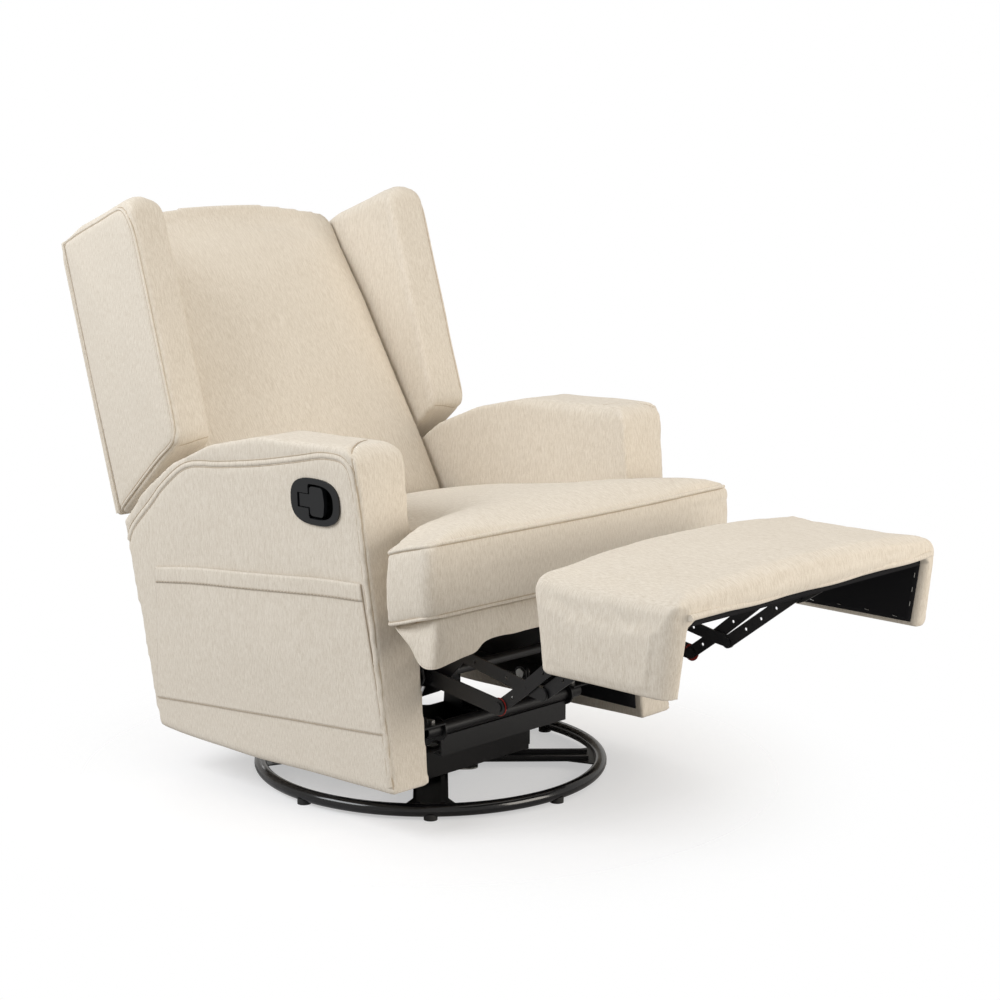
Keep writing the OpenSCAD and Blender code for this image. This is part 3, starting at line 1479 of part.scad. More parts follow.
module outside_back() {
    wide = wing_x + wing_t - panel_inset;
    narrow = inner_w / 2 - panel_inset;
    low = wing_low_rear + panel_drop;
    side_top = wing_top - wing_rear_drop - panel_inset;
    outline = rounded(
        [[-narrow, back_low + panel_inset], [narrow, back_low + panel_inset], [narrow, low],
         [wide, low], [wide, side_top], [0, back_root_top + back_crown - panel_drop],
         [-wide, side_top], [-wide, low], [-narrow, low]],
        [wing_corner_r, wing_corner_r, 0, wing_rear_r, wing_rear_r, back_crown_r, wing_rear_r,
         wing_rear_r, 0]);
    w1 = wing_rear + seat_gap + panel_t;
    color(fabric) in_back() {
        translate([0, w1, 0]) rotate([90, 0, 0]) linear_extrude(panel_t) polygon(outline);
    }
}

base_ring();
base_spokes();
ring_glides();
bearing_lower_plate();
bearing_ball_ring();
swivel_bolt();
bearing_upper_plate();
glide_base_frame();
glide_top_bolts();
glide_link_front_right();
glide_link_front_left();
glide_link_rear_right();
glide_link_rear_left();
carriage_plate_right();
carriage_plate_left();
cross_tubes();
front_apron();
mechanism_plate_right();
mechanism_plate_left();
mechanism_bolts();
seat_frame();
seat_webbing();
seat_cushion();
seat_skirt();
arm_frame_right();
arm_frame_left();
arm_cover_right();
arm_cover_left();
arm_dust_covers();
side_pocket();
rear_panel();
handle_bezel();
release_paddle();
paddle_pin();
release_cable();
cable_sleeve();
release_pawl();
pawl_spring();
upper_link_right();
upper_link_left();
cross_link_right();
cross_link_left();
lower_link_right();
lower_link_left();
lower_link_washers();
torque_tube();
control_link_right();
control_link_left();
footrest_brackets();
footrest_board();
footrest_pad();
footrest_dust_cloth();
back_frame();
back_brackets();
back_cushion();
wing_right();
wing_left();
outside_back();
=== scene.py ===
# %% [markdown]
# A swivel glider recliner: wooden frame, foam and cream woven cloth on a black steel mechanism.
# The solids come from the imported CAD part. This script dresses them: soft covers, seams, piping,
# the loose skirt, and a finish on every piece. Everything is in metres in the part's own frame,
# where the chair faces -y and the floor is z = 0.

import json
import math

import bmesh
import bpy
import numpy as np
from mathutils import Matrix, Vector, noise
from mathutils.bvhtree import BVHTree
from mathutils.kdtree import KDTree


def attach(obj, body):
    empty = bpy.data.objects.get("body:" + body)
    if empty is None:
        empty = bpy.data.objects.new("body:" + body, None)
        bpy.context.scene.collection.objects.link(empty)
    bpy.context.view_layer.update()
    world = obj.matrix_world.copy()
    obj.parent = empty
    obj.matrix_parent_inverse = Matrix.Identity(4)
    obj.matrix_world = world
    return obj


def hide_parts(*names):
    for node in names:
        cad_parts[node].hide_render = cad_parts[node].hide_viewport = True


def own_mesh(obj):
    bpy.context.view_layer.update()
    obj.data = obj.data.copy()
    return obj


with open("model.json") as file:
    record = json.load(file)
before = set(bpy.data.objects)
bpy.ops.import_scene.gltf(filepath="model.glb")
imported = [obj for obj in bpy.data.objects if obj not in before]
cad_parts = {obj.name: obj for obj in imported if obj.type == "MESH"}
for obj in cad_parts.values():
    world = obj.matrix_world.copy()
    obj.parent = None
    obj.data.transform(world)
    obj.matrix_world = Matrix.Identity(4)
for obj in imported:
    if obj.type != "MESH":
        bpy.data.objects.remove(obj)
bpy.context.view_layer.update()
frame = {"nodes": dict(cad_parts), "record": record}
nodes = frame["nodes"]

# %% [markdown]
# The camera stands where the photographer stood. Its place was worked out from corners of the
# chair whose sizes are known, so the render can be laid over the photograph.

# %% Camera
CAMERA_PLACE = Vector((-2.8124, -2.8260, 1.2298))
CAMERA_AZIMUTH = math.radians(-46.6755)
CAMERA_HEIGHT_ANGLE = math.radians(10.3692)
CAMERA_ROLL = math.radians(0.2224)
camera_data = bpy.data.cameras.new("photo_camera")
camera_data.lens = 80.33
camera = bpy.data.objects.new("photo_camera", camera_data)
bpy.context.scene.collection.objects.link(camera)
backward = Vector((math.sin(CAMERA_AZIMUTH) * math.cos(CAMERA_HEIGHT_ANGLE),
                   -math.cos(CAMERA_AZIMUTH) * math.cos(CAMERA_HEIGHT_ANGLE),
                   math.sin(CAMERA_HEIGHT_ANGLE)))
rightward = (-backward).cross(Vector((0, 0, 1))).normalized()
upward = backward.cross(rightward)
rightward = rightward * math.cos(CAMERA_ROLL) + upward * math.sin(CAMERA_ROLL)
upward = backward.cross(rightward)
turn = Matrix((rightward, upward, backward)).transposed().to_4x4()
camera.matrix_world = Matrix.Translation(CAMERA_PLACE) @ turn
bpy.context.scene.camera = camera
bpy.context.scene.view_settings.view_transform = "Standard"
print("camera at", tuple(CAMERA_PLACE))

# %% [markdown]
# The light is a plain white studio: an even bright world, a large soft lamp above the camera's
# left, a warmer one low in front, and weak ones above and behind. The world shows white behind
# the chair.

# %% World and lamps
WORLD_LIGHT, WORLD_COLOUR = 0.46, (1, 0.975, 0.935, 1)
world = bpy.data.worlds.new("studio")
bpy.context.scene.world = world
world.use_nodes = True
sky = world.node_tree
sky.nodes.clear()
sky_out = sky.nodes.new("ShaderNodeOutputWorld")
sky_soft = sky.nodes.new("ShaderNodeBackground")
sky_soft.inputs["Color"].default_value = WORLD_COLOUR
sky_soft.inputs["Strength"].default_value = WORLD_LIGHT
sky_white = sky.nodes.new("ShaderNodeBackground")
sky_white.inputs["Color"].default_value = (1, 1, 1, 1)
sky_white.inputs["Strength"].default_value = 1
sky_path = sky.nodes.new("ShaderNodeLightPath")
sky_any = sky.nodes.new("ShaderNodeMath")
sky_any.operation = "MAXIMUM"
sky_mix = sky.nodes.new("ShaderNodeMixShader")
for start, end in ((sky_path.outputs["Is Camera Ray"], sky_any.inputs[0]),
                   (sky_path.outputs["Is Transmission Ray"], sky_any.inputs[1]),
                   (sky_any.outputs[0], sky_mix.inputs[0]),
                   (sky_soft.outputs[0], sky_mix.inputs[1]),
                   (sky_white.outputs[0], sky_mix.inputs[2]),
                   (sky_mix.outputs[0], sky_out.inputs[0])):
    sky.links.new(start, end)


def soft_lamp(name, place, target, width, power, tint=(1, 1, 1)):
    """A square soft box that looks at target."""
    data = bpy.data.lights.new(name, "AREA")
    data.shape = "SQUARE"
    data.size = width
    data.energy = power
    data.color = tint
    lamp = bpy.data.objects.new(name, data)
    lamp.location = place
    lamp.rotation_euler = (Vector(target) - Vector(place)).to_track_quat("-Z", "Y").to_euler()
    bpy.context.scene.collection.objects.link(lamp)
    return lamp


soft_lamp("key_lamp", (-3.2, 1.0, 3.0), (0, 0, 0.5), 2.4, 112, (0.95, 0.975, 1.0))
soft_lamp("top_lamp", (0.2, -0.9, 3.8), (0, -0.2, 0.4), 2.6, 14, (1.0, 0.96, 0.88))
soft_lamp("fill_lamp", (1.2, -3.8, 1.3), (0, 0, 0.5), 2.2, 80, (1.0, 0.94, 0.85))
soft_lamp("rear_lamp", (1.8, 3.0, 2.4), (0, 0, 0.6), 2.0, 22)

# %% [markdown]
# The floor is a pale disc that keeps a soft shadow. Part of its brightness comes from camera rays
# alone and adds no light. Away from the chair it fades into the white of the background.

# %% Floor
FLOOR_HALF, FADE_START, FADE_END = 4.0, 0.34, 0.85
FLOOR_GLOW = 0.46
floor_bm = bmesh.new()
bmesh.ops.create_circle(floor_bm, cap_ends=True, radius=FLOOR_HALF, segments=96)
floor_mesh = bpy.data.meshes.new("floor")
floor_bm.to_mesh(floor_mesh)
floor_bm.free()
floor = bpy.data.objects.new("floor", floor_mesh)
bpy.context.scene.collection.objects.link(floor)
floor_mat = bpy.data.materials.new("pale_floor")
floor_mat.use_nodes = True
tree = floor_mat.node_tree
tree.nodes.clear()
out = tree.nodes.new("ShaderNodeOutputMaterial")
matt = tree.nodes.new("ShaderNodeBsdfDiffuse")
matt.inputs["Color"].default_value = (0.56, 0.56, 0.57, 1)
glow = tree.nodes.new("ShaderNodeEmission")
path = tree.nodes.new("ShaderNodeLightPath")
share = tree.nodes.new("ShaderNodeMath")
share.operation = "MULTIPLY"
share.inputs[1].default_value = FLOOR_GLOW
both = tree.nodes.new("ShaderNodeAddShader")
clear = tree.nodes.new("ShaderNodeBsdfTransparent")
spot = tree.nodes.new("ShaderNodeTexCoord")
reach = tree.nodes.new("ShaderNodeVectorMath")
reach.operation = "LENGTH"
fade = tree.nodes.new("ShaderNodeMapRange")
fade.interpolation_type = "SMOOTHSTEP"
fade.inputs["From Min"].default_value = FADE_START
fade.inputs["From Max"].default_value = FADE_END
faded = tree.nodes.new("ShaderNodeMixShader")
for start, end in ((path.outputs["Is Camera Ray"], share.inputs[0]),
                   (share.outputs[0], glow.inputs["Strength"]),
                   (matt.outputs[0], both.inputs[0]), (glow.outputs[0], both.inputs[1]),
                   (spot.outputs["Object"], reach.inputs[0]),
                   (reach.outputs["Value"], fade.inputs["Value"]),
                   (fade.outputs[0], faded.inputs[0]), (both.outputs[0], faded.inputs[1]),
                   (clear.outputs[0], faded.inputs[2]), (faded.outputs[0], out.inputs[0])):
    tree.links.new(start, end)
floor_mesh.materials.append(floor_mat)

# %% [markdown]
# Each finish is one material. The cloth is a thick chenille: short upright yarns, a little darker
# in the gaps, so a stretched noise gives the grain and a finer one the fuzz. The pattern reads
# Object coordinates, and turns with the face so that the grain runs up walls and along seats.

# %% Materials


def shader(name, colour, roughness, metallic=0.0):
    """A material with one principled shader, and the parts that a finish needs."""
    mat = bpy.data.materials.new(name)
    mat.use_nodes = True
    body = mat.node_tree.nodes["Principled BSDF"]
    body.inputs["Base Color"].default_value = (*colour, 1)
    body.inputs["Roughness"].default_value = roughness
    body.inputs["Metallic"].default_value = metallic
    return mat, mat.node_tree, body


def stretched_noise(tree, scale, detail):
    """A noise on Object coordinates with its own scale on each axis."""
    place = tree.nodes.new("ShaderNodeTexCoord")
    mapping = tree.nodes.new("ShaderNodeMapping")
    mapping.inputs["Scale"].default_value = scale
    grains = tree.nodes.new("ShaderNodeTexNoise")
    grains.inputs["Scale"].default_value = 1
    grains.inputs["Detail"].default_value = detail
    grains.inputs["Roughness"].default_value = 0.6
    tree.links.new(place.outputs["Object"], mapping.inputs[0])
    tree.links.new(mapping.outputs[0], grains.inputs["Vector"])
    return grains.outputs["Fac"]


def ramp(tree, value, low, high, dark, light):
    """Two colours, from dark at low to light at high."""
    node = tree.nodes.new("ShaderNodeValToRGB")
    node.color_ramp.elements[0].position = low
    node.color_ramp.elements[1].position = high
    node.color_ramp.elements[0].color = (*dark, 1)
    node.color_ramp.elements[1].color = (*light, 1)
    tree.links.new(value, node.inputs[0])
    return node.outputs[0]


def mixed(tree, factor, first, second):
    """A value between two values."""
    node = tree.nodes.new("ShaderNodeMix")
    node.data_type = "FLOAT"
    tree.links.new(factor, node.inputs["Factor"])
    tree.links.new(first, node.inputs["A"])
    tree.links.new(second, node.inputs["B"])
    return node.outputs["Result"]


def bump(tree, body, height, distance, strength):
    """Relief from a height value."""
    node = tree.nodes.new("ShaderNodeBump")
    node.inputs["Distance"].default_value = distance
    node.inputs["Strength"].default_value = strength
    tree.links.new(height, node.inputs["Height"])
    tree.links.new(node.outputs[0], body.inputs["Normal"])


def facing(tree):
    """Two shares: 1 on level faces, and 1 on walls that face sideways."""
    geometry = tree.nodes.new("ShaderNodeNewGeometry")
    split = tree.nodes.new("ShaderNodeSeparateXYZ")
    tree.links.new(geometry.outputs["Normal"], split.inputs[0])
    sizes = {}
    for axis in "XYZ":
        size = tree.nodes.new("ShaderNodeMath")
        size.operation = "ABSOLUTE"
        tree.links.new(split.outputs[axis], size.inputs[0])
        sizes[axis] = size.outputs[0]
    more = tree.nodes.new("ShaderNodeMath")
    more.operation = "SUBTRACT"
    tree.links.new(sizes["X"], more.inputs[0])
    tree.links.new(sizes["Y"], more.inputs[1])
    shares = []
    for value, low, high in ((sizes["Z"], 0.6, 0.8), (more.outputs[0], -0.12, 0.12)):
        step = tree.nodes.new("ShaderNodeMapRange")
        step.inputs["From Min"].default_value = low
        step.inputs["From Max"].default_value = high
        tree.links.new(value, step.inputs["Value"])
        shares.append(step.outputs[0])
    return shares


def mixed_by(tree, share, first, second):
    """A value a fixed share of the way between two values."""
    node = tree.nodes.new("ShaderNodeMix")
    node.data_type = "FLOAT"
    node.inputs["Factor"].default_value = share
    tree.links.new(first, node.inputs["A"])
    tree.links.new(second, node.inputs["B"])
    return node.outputs["Result"]


def cloth(name, light, dark, relief=0.5):
    """Chenille: fine streaks along the yarn, fuzz, and slow changes of tone."""
    mat, tree, body = shader(name, light, 0.92)
    level, sideways = facing(tree)
    side_walls = stretched_noise(tree, (30, 620, 95), 3.0)
    front_walls = stretched_noise(tree, (620, 30, 95), 3.0)
    seats = stretched_noise(tree, (620, 95, 30), 3.0)
    grain = mixed(tree, level, mixed(tree, sideways, front_walls, side_walls), seats)
    fuzz = stretched_noise(tree, (1100, 1100, 1100), 2.0)
    slow = stretched_noise(tree, (9, 9, 9), 2.0)
    rough = mixed_by(tree, 0.4, grain, fuzz)
    colour = ramp(tree, mixed_by(tree, 0.06, rough, slow), 0.38, 0.6, dark, light)
    tree.links.new(colour, body.inputs["Base Color"])
    bump(tree, body, rough, 0.0011, relief)
    body.inputs["Sheen Weight"].default_value = 0.10
    body.inputs["Sheen Roughness"].default_value = 0.5
    body.inputs["Specular IOR Level"].default_value = 0.12
    return mat


cream = cloth("cream_chenille", (0.805, 0.742, 0.652), (0.642, 0.572, 0.478))
# A darker cream for thin lines laid in seams and grooves: painted shade where the cloth folds in.
painted_seam_shade = cloth("seam_shadow", (0.56, 0.47, 0.36), (0.48, 0.39, 0.29), 0.2)
lining, lining_tree, lining_body = shader("black_lining", (0.018, 0.018, 0.02), 0.95)
lining_body.inputs["Specular IOR Level"].default_value = 0.1
bump(lining_tree, lining_body, stretched_noise(lining_tree, (700, 700, 700), 2.0), 0.0006, 0.4)
strap_mat, strap_tree, strap_body = shader("webbing_black", (0.03, 0.03, 0.032), 0.85)
bump(strap_tree, strap_body, stretched_noise(strap_tree, (200, 1400, 600), 1.0), 0.0008, 0.6)
powder, powder_tree, powder_body = shader("powder_coat_black", (0.007, 0.007, 0.008), 0.36)
bump(powder_tree, powder_body, stretched_noise(powder_tree, (1500, 1500, 1500), 1.0), 0.0002, 0.25)
tube_black, _, tube_body = shader("ring_gloss_black", (0.004, 0.004, 0.005), 0.18)
tube_body.inputs["Coat Weight"].default_value = 0.4
tube_body.inputs["Coat Roughness"].default_value = 0.08
zinc, _, _ = shader("zinc_plate", (0.62, 0.62, 0.60), 0.32, 1.0)
chrome, _, _ = shader("chrome_tube", (0.75, 0.76, 0.78), 0.12, 1.0)
plastic, plastic_tree, plastic_body = shader("handle_plastic", (0.010, 0.011, 0.013), 0.40)
plastic_grain = stretched_noise(plastic_tree, (2200, 2200, 2200), 1.0)
bump(plastic_tree, plastic_body, plastic_grain, 0.0001, 0.3)
red, _, _ = shader("red_bushing", (0.30, 0.022, 0.016), 0.4)
rubber, _, _ = shader("glide_rubber", (0.02, 0.02, 0.02), 0.7)
board, board_tree, board_body = shader("plywood", (0.55, 0.40, 0.25), 0.65)
board_tone = ramp(board_tree, stretched_noise(board_tree, (30, 30, 300), 4.0), 0.3, 0.7,
                  (0.42, 0.29, 0.17), (0.62, 0.47, 0.31))
board_tree.links.new(board_tone, board_body.inputs["Base Color"])
FINISH = {"black_steel": powder, "zinc": zinc, "black_plastic": plastic, "red_plastic": red,
          "wood": board, "cream_fabric": cream, "black_cloth": lining, "webbing": strap_mat}
print("finishes", sorted(FINISH))

# %% [markdown]
# Every CAD node first gets the finish of its own slot, and four get one of their own. The soft
# ones are replaced further on.

# %% Finish the hard pieces
slots = {p["node"]: p["material_slot"] for p in frame["record"]["subparts"]}
OWN_FINISH = {"base_ring": tube_black, "cable_sleeve": chrome, "footrest_board": lining,
              "ring_glides": rubber}
for name, part in nodes.items():
    part.data.materials.clear()
    part.data.materials.append(OWN_FINISH.get(name) or FINISH.get(slots.get(name), powder))
print("slots", len(slots))

# %% [markdown]
# The soft pieces start as a closed skin over the CAD solid. A few short tools work on them: one
# puts an even mesh over a shape, one swells it with Blender's Cloth, one presses seams and folds
# into it, and others lay piping, flat welts and sheets on it.

# %% Tools for the soft pieces


def points_of(mesh):
    """The mesh's points as rows."""
    rows = np.empty(len(mesh.vertices) * 3)
    mesh.vertices.foreach_get("co", rows)
    return rows.reshape(-1, 3)


def normals_of(mesh):
    """The normal at each point."""
    rows = np.empty(len(mesh.vertices) * 3)
    mesh.vertices.foreach_get("normal", rows)
    return rows.reshape(-1, 3)


def put_points(mesh, rows):
    """Moves the mesh's points."""
    mesh.vertices.foreach_set("co", rows.ravel())
    mesh.update()


def piece(name, mesh, material, body):
    """A new piece of the chair, with its finish and body."""
    obj = bpy.data.objects.new(name, mesh)
    bpy.context.scene.collection.objects.link(obj)
    mesh.materials.clear()
    mesh.materials.append(material)
    mesh.shade_smooth()
    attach(obj, body)
    return obj


def baked(obj):
    """Applies the modifiers of a piece to its mesh."""
    bpy.context.view_layer.update()
    ready = obj.evaluated_get(bpy.context.evaluated_depsgraph_get())
    mesh = bpy.data.meshes.new_from_object(ready)
    obj.modifiers.clear()
    obj.data = mesh
    mesh.shade_smooth()


def closed_copy(node):
    """A CAD node's mesh with its split points merged."""
    bm = bmesh.new()
    bm.from_mesh(nodes[node].data)
    bmesh.ops.remove_doubles(bm, verts=bm.verts, dist=0.00002)
    bmesh.ops.recalc_face_normals(bm, faces=bm.faces)
    mesh = bpy.data.meshes.new(node + "_soft")
    bm.to_mesh(mesh)
    bm.free()
    return mesh


def skinned(obj, voxel, rounds=8):
    """Puts an even mesh over the piece and softens its edges, without shrinking it."""
    cover = obj.modifiers.new("skin", "REMESH")
    cover.mode = "VOXEL"
    cover.voxel_size = voxel
    baked(obj)
    bm = bmesh.new()
    bm.from_mesh(obj.data)
    for _ in range(rounds):
        for factor in (0.5, -0.52):
            bmesh.ops.smooth_vert(bm, verts=bm.verts, factor=factor, use_axis_x=True,
                                  use_axis_y=True, use_axis_z=True)
    bm.to_mesh(obj.data)
    bm.free()
    obj.data.shade_smooth()


def puffed(obj, held, cap, pressure=4.0):
    """Swells a padded piece with Cloth. held marks the points that stay where they are."""
    before = points_of(obj.data)
    group = obj.vertex_groups.new(name="held")
    group.add([int(i) for i in np.nonzero(held)[0]], 1.0, "REPLACE")
    cloth_mod = obj.modifiers.new("puff", "CLOTH")
    settings = cloth_mod.settings
    settings.quality = 4
    settings.use_pressure = True
    settings.uniform_pressure_force = pressure
    settings.vertex_group_mass = "held"
    settings.effector_weights.gravity = 0
    cloth_mod.point_cache.frame_start = 1
    cloth_mod.point_cache.frame_end = 20
    for step in range(1, 21):
        bpy.context.scene.frame_set(step)
    ready = obj.evaluated_get(bpy.context.evaluated_depsgraph_get())
    after = points_of(ready.data)
    obj.modifiers.clear()
    bpy.context.scene.frame_set(1)
    move = after - before
    far = np.linalg.norm(move, axis=1, keepdims=True) + 1e-9
    move *= cap * np.tanh(far / cap) / far
    put_points(obj.data, before + move)
    obj.vertex_groups.clear()


def near_path(rows, path):
    """How far each point is from a path of closely spaced points."""
    tree = KDTree(len(path))
    for i, p in enumerate(path):
        tree.insert(p, i)
    tree.balance()
    return np.array([tree.find(p)[2] for p in rows])


def press(obj, path, depth, width):
    """Presses the skin in along a path, or lifts it where depth is below zero."""
    rows = points_of(obj.data)
    low, high = np.min(path, axis=0) - 4 * width, np.max(path, axis=0) + 4 * width
    some = np.nonzero(np.all((rows > low) & (rows < high), axis=1))[0]
    if len(some) == 0:
        return
    far = near_path(rows[some], path)
    rows[some] -= normals_of(obj.data)[some] * (depth * np.exp(-(far / width) ** 2))[:, None]
    put_points(obj.data, rows)


def along(points, step=0.004, closed=False):
    """A smooth path through points, in even steps."""
    rows = [Vector(p) for p in points]
    n = len(rows)
    spans = n if closed else n - 1
    path = []
    for i in range(spans):
        if closed:
            a, b, c, d = (rows[(i + k - 1) % n] for k in range(4))
        else:
            a, b, c, d = (rows[min(max(i + k - 1, 0), n - 1)] for k in range(4))
        count = max(1, round((c - b).length / step))
        for k in range(count):
            t = k / count
            path.append(0.5 * ((2 * b) + (c - a) * t + (2 * a - 5 * b + 4 * c - d) * t * t
                               + (3 * b - a - 3 * c + d) * t ** 3))
    if not closed:
        path.append(rows[-1])
    return path


def skin_tree(obj):
    """A search tree over a piece's faces."""
    mesh = obj.data
    faces = [tuple(f.vertices) for f in mesh.polygons]
    return BVHTree.FromPolygons([v.co for v in mesh.vertices], faces)


def eased(path, closed=False, rounds=10):
    """The same path with its small steps smoothed out."""
    rows = np.array([tuple(p) for p in path])
    for _ in range(rounds):
        ahead, behind = np.roll(rows, -1, axis=0), np.roll(rows, 1, axis=0)
        middle = 0.5 * rows + 0.25 * (ahead + behind)
        if not closed:
            middle[0], middle[-1] = rows[0], rows[-1]
        rows = middle
    return [Vector(p) for p in rows]


def laid(tree, path, lift=0.0, closed=False):
    """The nearest places on a skin, lifted off it."""
    places, lifts = [], []
    for p in path:
        spot, normal, _, _ = tree.find_nearest(p)
        places.append(spot)
        lifts.append(normal)
    places, lifts = eased(places, closed), eased(lifts, closed)
    return [p + n.normalized() * lift for p, n in zip(places, lifts)]


def softened(obj, chosen, rounds):
    """Rounds the skin off at the chosen points."""
    bm = bmesh.new()
    bm.from_mesh(obj.data)
    bm.verts.ensure_lookup_table()
    some = [bm.verts[int(i)] for i in np.nonzero(chosen)[0]]
    for _ in range(rounds):
        bmesh.ops.smooth_vert(bm, verts=some, factor=0.5, use_axis_x=True, use_axis_y=True,
                              use_axis_z=True)
    bm.to_mesh(obj.data)
    bm.free()
    obj.data.shade_smooth()


def piping(name, paths, radius, material, body):
    """Round piping along several paths, each with whether it is closed."""
    curve = bpy.data.curves.new(name, "CURVE")
    curve.dimensions = "3D"
    curve.bevel_depth = radius
    curve.bevel_resolution = 2
    curve.use_fill_caps = True
    for path, closed in paths:
        spline = curve.splines.new("POLY")
        spline.points.add(len(path) - 1)
        for point, p in zip(spline.points, path):
            point.co = (*p, 1)
        spline.use_cyclic_u = closed
    holder = bpy.data.objects.new(name + "_path", curve)
    bpy.context.scene.collection.objects.link(holder)
    bpy.context.view_layer.update()
    ready = holder.evaluated_get(bpy.context.evaluated_depsgraph_get())
    mesh = bpy.data.meshes.new_from_object(ready)
    bpy.data.objects.remove(holder)
    return piece(name, mesh, material, body)


def grid_mesh(name, across, up, place):
    """A grid whose points go where place(s, t) says, with s and t from 0 to 1."""
    bm = bmesh.new()
    bmesh.ops.create_grid(bm, x_segments=across, y_segments=up, size=0.5)
    for v in bm.verts:
        v.co = place(v.co.x + 0.5, v.co.y + 0.5)
    bmesh.ops.recalc_face_normals(bm, faces=bm.faces)
    mesh = bpy.data.meshes.new(name)
    bm.to_mesh(mesh)
    bm.free()
    return mesh


def thickened(obj, thickness):
    """Gives a sheet its thickness."""
    solid = obj.modifiers.new("thickness", "SOLIDIFY")
    solid.thickness = thickness
    solid.offset = 0.0
    baked(obj)


def welt(name, tree, path, width, height, material, body):
    """A flat welt laid along a path on a skin."""
    path = laid(tree, path)
    shares = (-1.0, -0.78, 0.0, 0.78, 1.0)
    lifts = (-0.4, 0.75, 1.0, 0.75, -0.4)
    rows = []
    for i, p in enumerate(path):
        ahead, behind = path[min(i + 1, len(path) - 1)], path[max(i - 1, 0)]
        spot, normal, _, _ = tree.find_nearest(p)
        side = (ahead - behind).cross(normal).normalized()
        rows.append([spot + side * (width / 2 * k) + normal * (height * h)
                     for k, h in zip(shares, lifts)])
    mesh = grid_mesh(name, len(rows) - 1, 4,
                     lambda s, t: rows[round(s * (len(rows) - 1))][round(t * 4)])
    return piece(name, mesh, material, body)


def rim_beside(outer, side, gap, i):
    """A place beside a path on an outer face, off it by gap."""
    step = outer[min(i + 1, len(outer) - 1)] - outer[max(i - 1, 0)]
    return outer[i] + step.cross(Vector((side, 0, 0))).normalized() * gap


def rounded(corners, radii, n=6):
    """An outline with its corners rounded, as the CAD source draws it."""
    m = len(corners)
    path = []
    for i in range(m):
        a, b, c = (Vector(corners[(i + k) % m]) for k in (-1, 0, 1))
        to_a, to_c = (a - b).normalized(), (c - b).normalized()
        half = to_a.angle(to_c) / 2
        centre = b + (to_a + to_c).normalized() * (radii[i] / math.sin(half))
        reach = radii[i] / math.tan(half)
        first, last = b + to_a * reach - centre, b + to_c * reach - centre
        start, end = math.atan2(first.y, first.x), math.atan2(last.y, last.x)
        turn_by = (end - start + 3 * math.pi) % (2 * math.pi) - math.pi
        path += [centre + radii[i] * Vector((math.cos(start + turn_by * k / n),
                                             math.sin(start + turn_by * k / n)))
                 for k in range(n + 1)]
    return path


def waved(obj, height, length, keep=None):
    """Slow unevenness, as foam and cloth have."""
    rows = points_of(obj.data)
    lift = np.array([noise.noise(Vector(p) / length) for p in rows])
    if keep is not None:
        lift = np.where(keep, 0.0, lift)
    put_points(obj.data, rows + normals_of(obj.data) * (height * lift)[:, None])


print("tools ready")

# %% [markdown]
# The arms are upholstered boxes. The outer panel is bounded by a flat welt, the boxing wraps over
# the top, and a narrow seam joins the front panel at the outer corner. The seams' points were
# measured on the right arm and are mirrored for the left one. The covers' lower edges sag a little.
# The right arm is open where the release handle's cup goes in.

# %% Arms
WELT_LINE = [(0.3976, 0.4246), (0.3827, 0.4524), (0.3253, 0.5039), (0.2847, 0.5415),
             (0.2166, 0.5846), (0.1236, 0.5970), (0.0185, 0.6122), (-0.0831, 0.6314),
             (-0.1376, 0.6427), (-0.1806, 0.6437), (-0.1945, 0.6405), (-0.2075, 0.6291),
             (-0.2125, 0.6135), (-0.2205, 0.5600), (-0.2330, 0.4500), (-0.2470, 0.3200),
             (-0.2590, 0.2100), (-0.2700, 0.1000)]
FRONT_LINE = [(-0.3005, -0.1529, 0.6614), (-0.3350, -0.1680, 0.6635), (-0.3593, -0.1875, 0.6619),
              (-0.3790, -0.2000, 0.6585), (-0.3878, -0.2082, 0.6500), (-0.3919, -0.2145, 0.6327),
              (-0.3880, -0.2230, 0.5687), (-0.3790, -0.2420, 0.4200), (-0.3695, -0.2601, 0.2485),
              (-0.3640, -0.2710, 0.1400), (-0.3625, -0.2745, 0.0980)]
HANDLE_PLACE = Vector((-0.3883, -0.1220, 0.5634))
HANDLE_OPENING = (0.0575, 0.0380)
OVAL_POWER = 2.7
ARM_SAG, ARM_SAG_MORE, ARM_SAG_REACH = 0.004, 0.009, 0.10


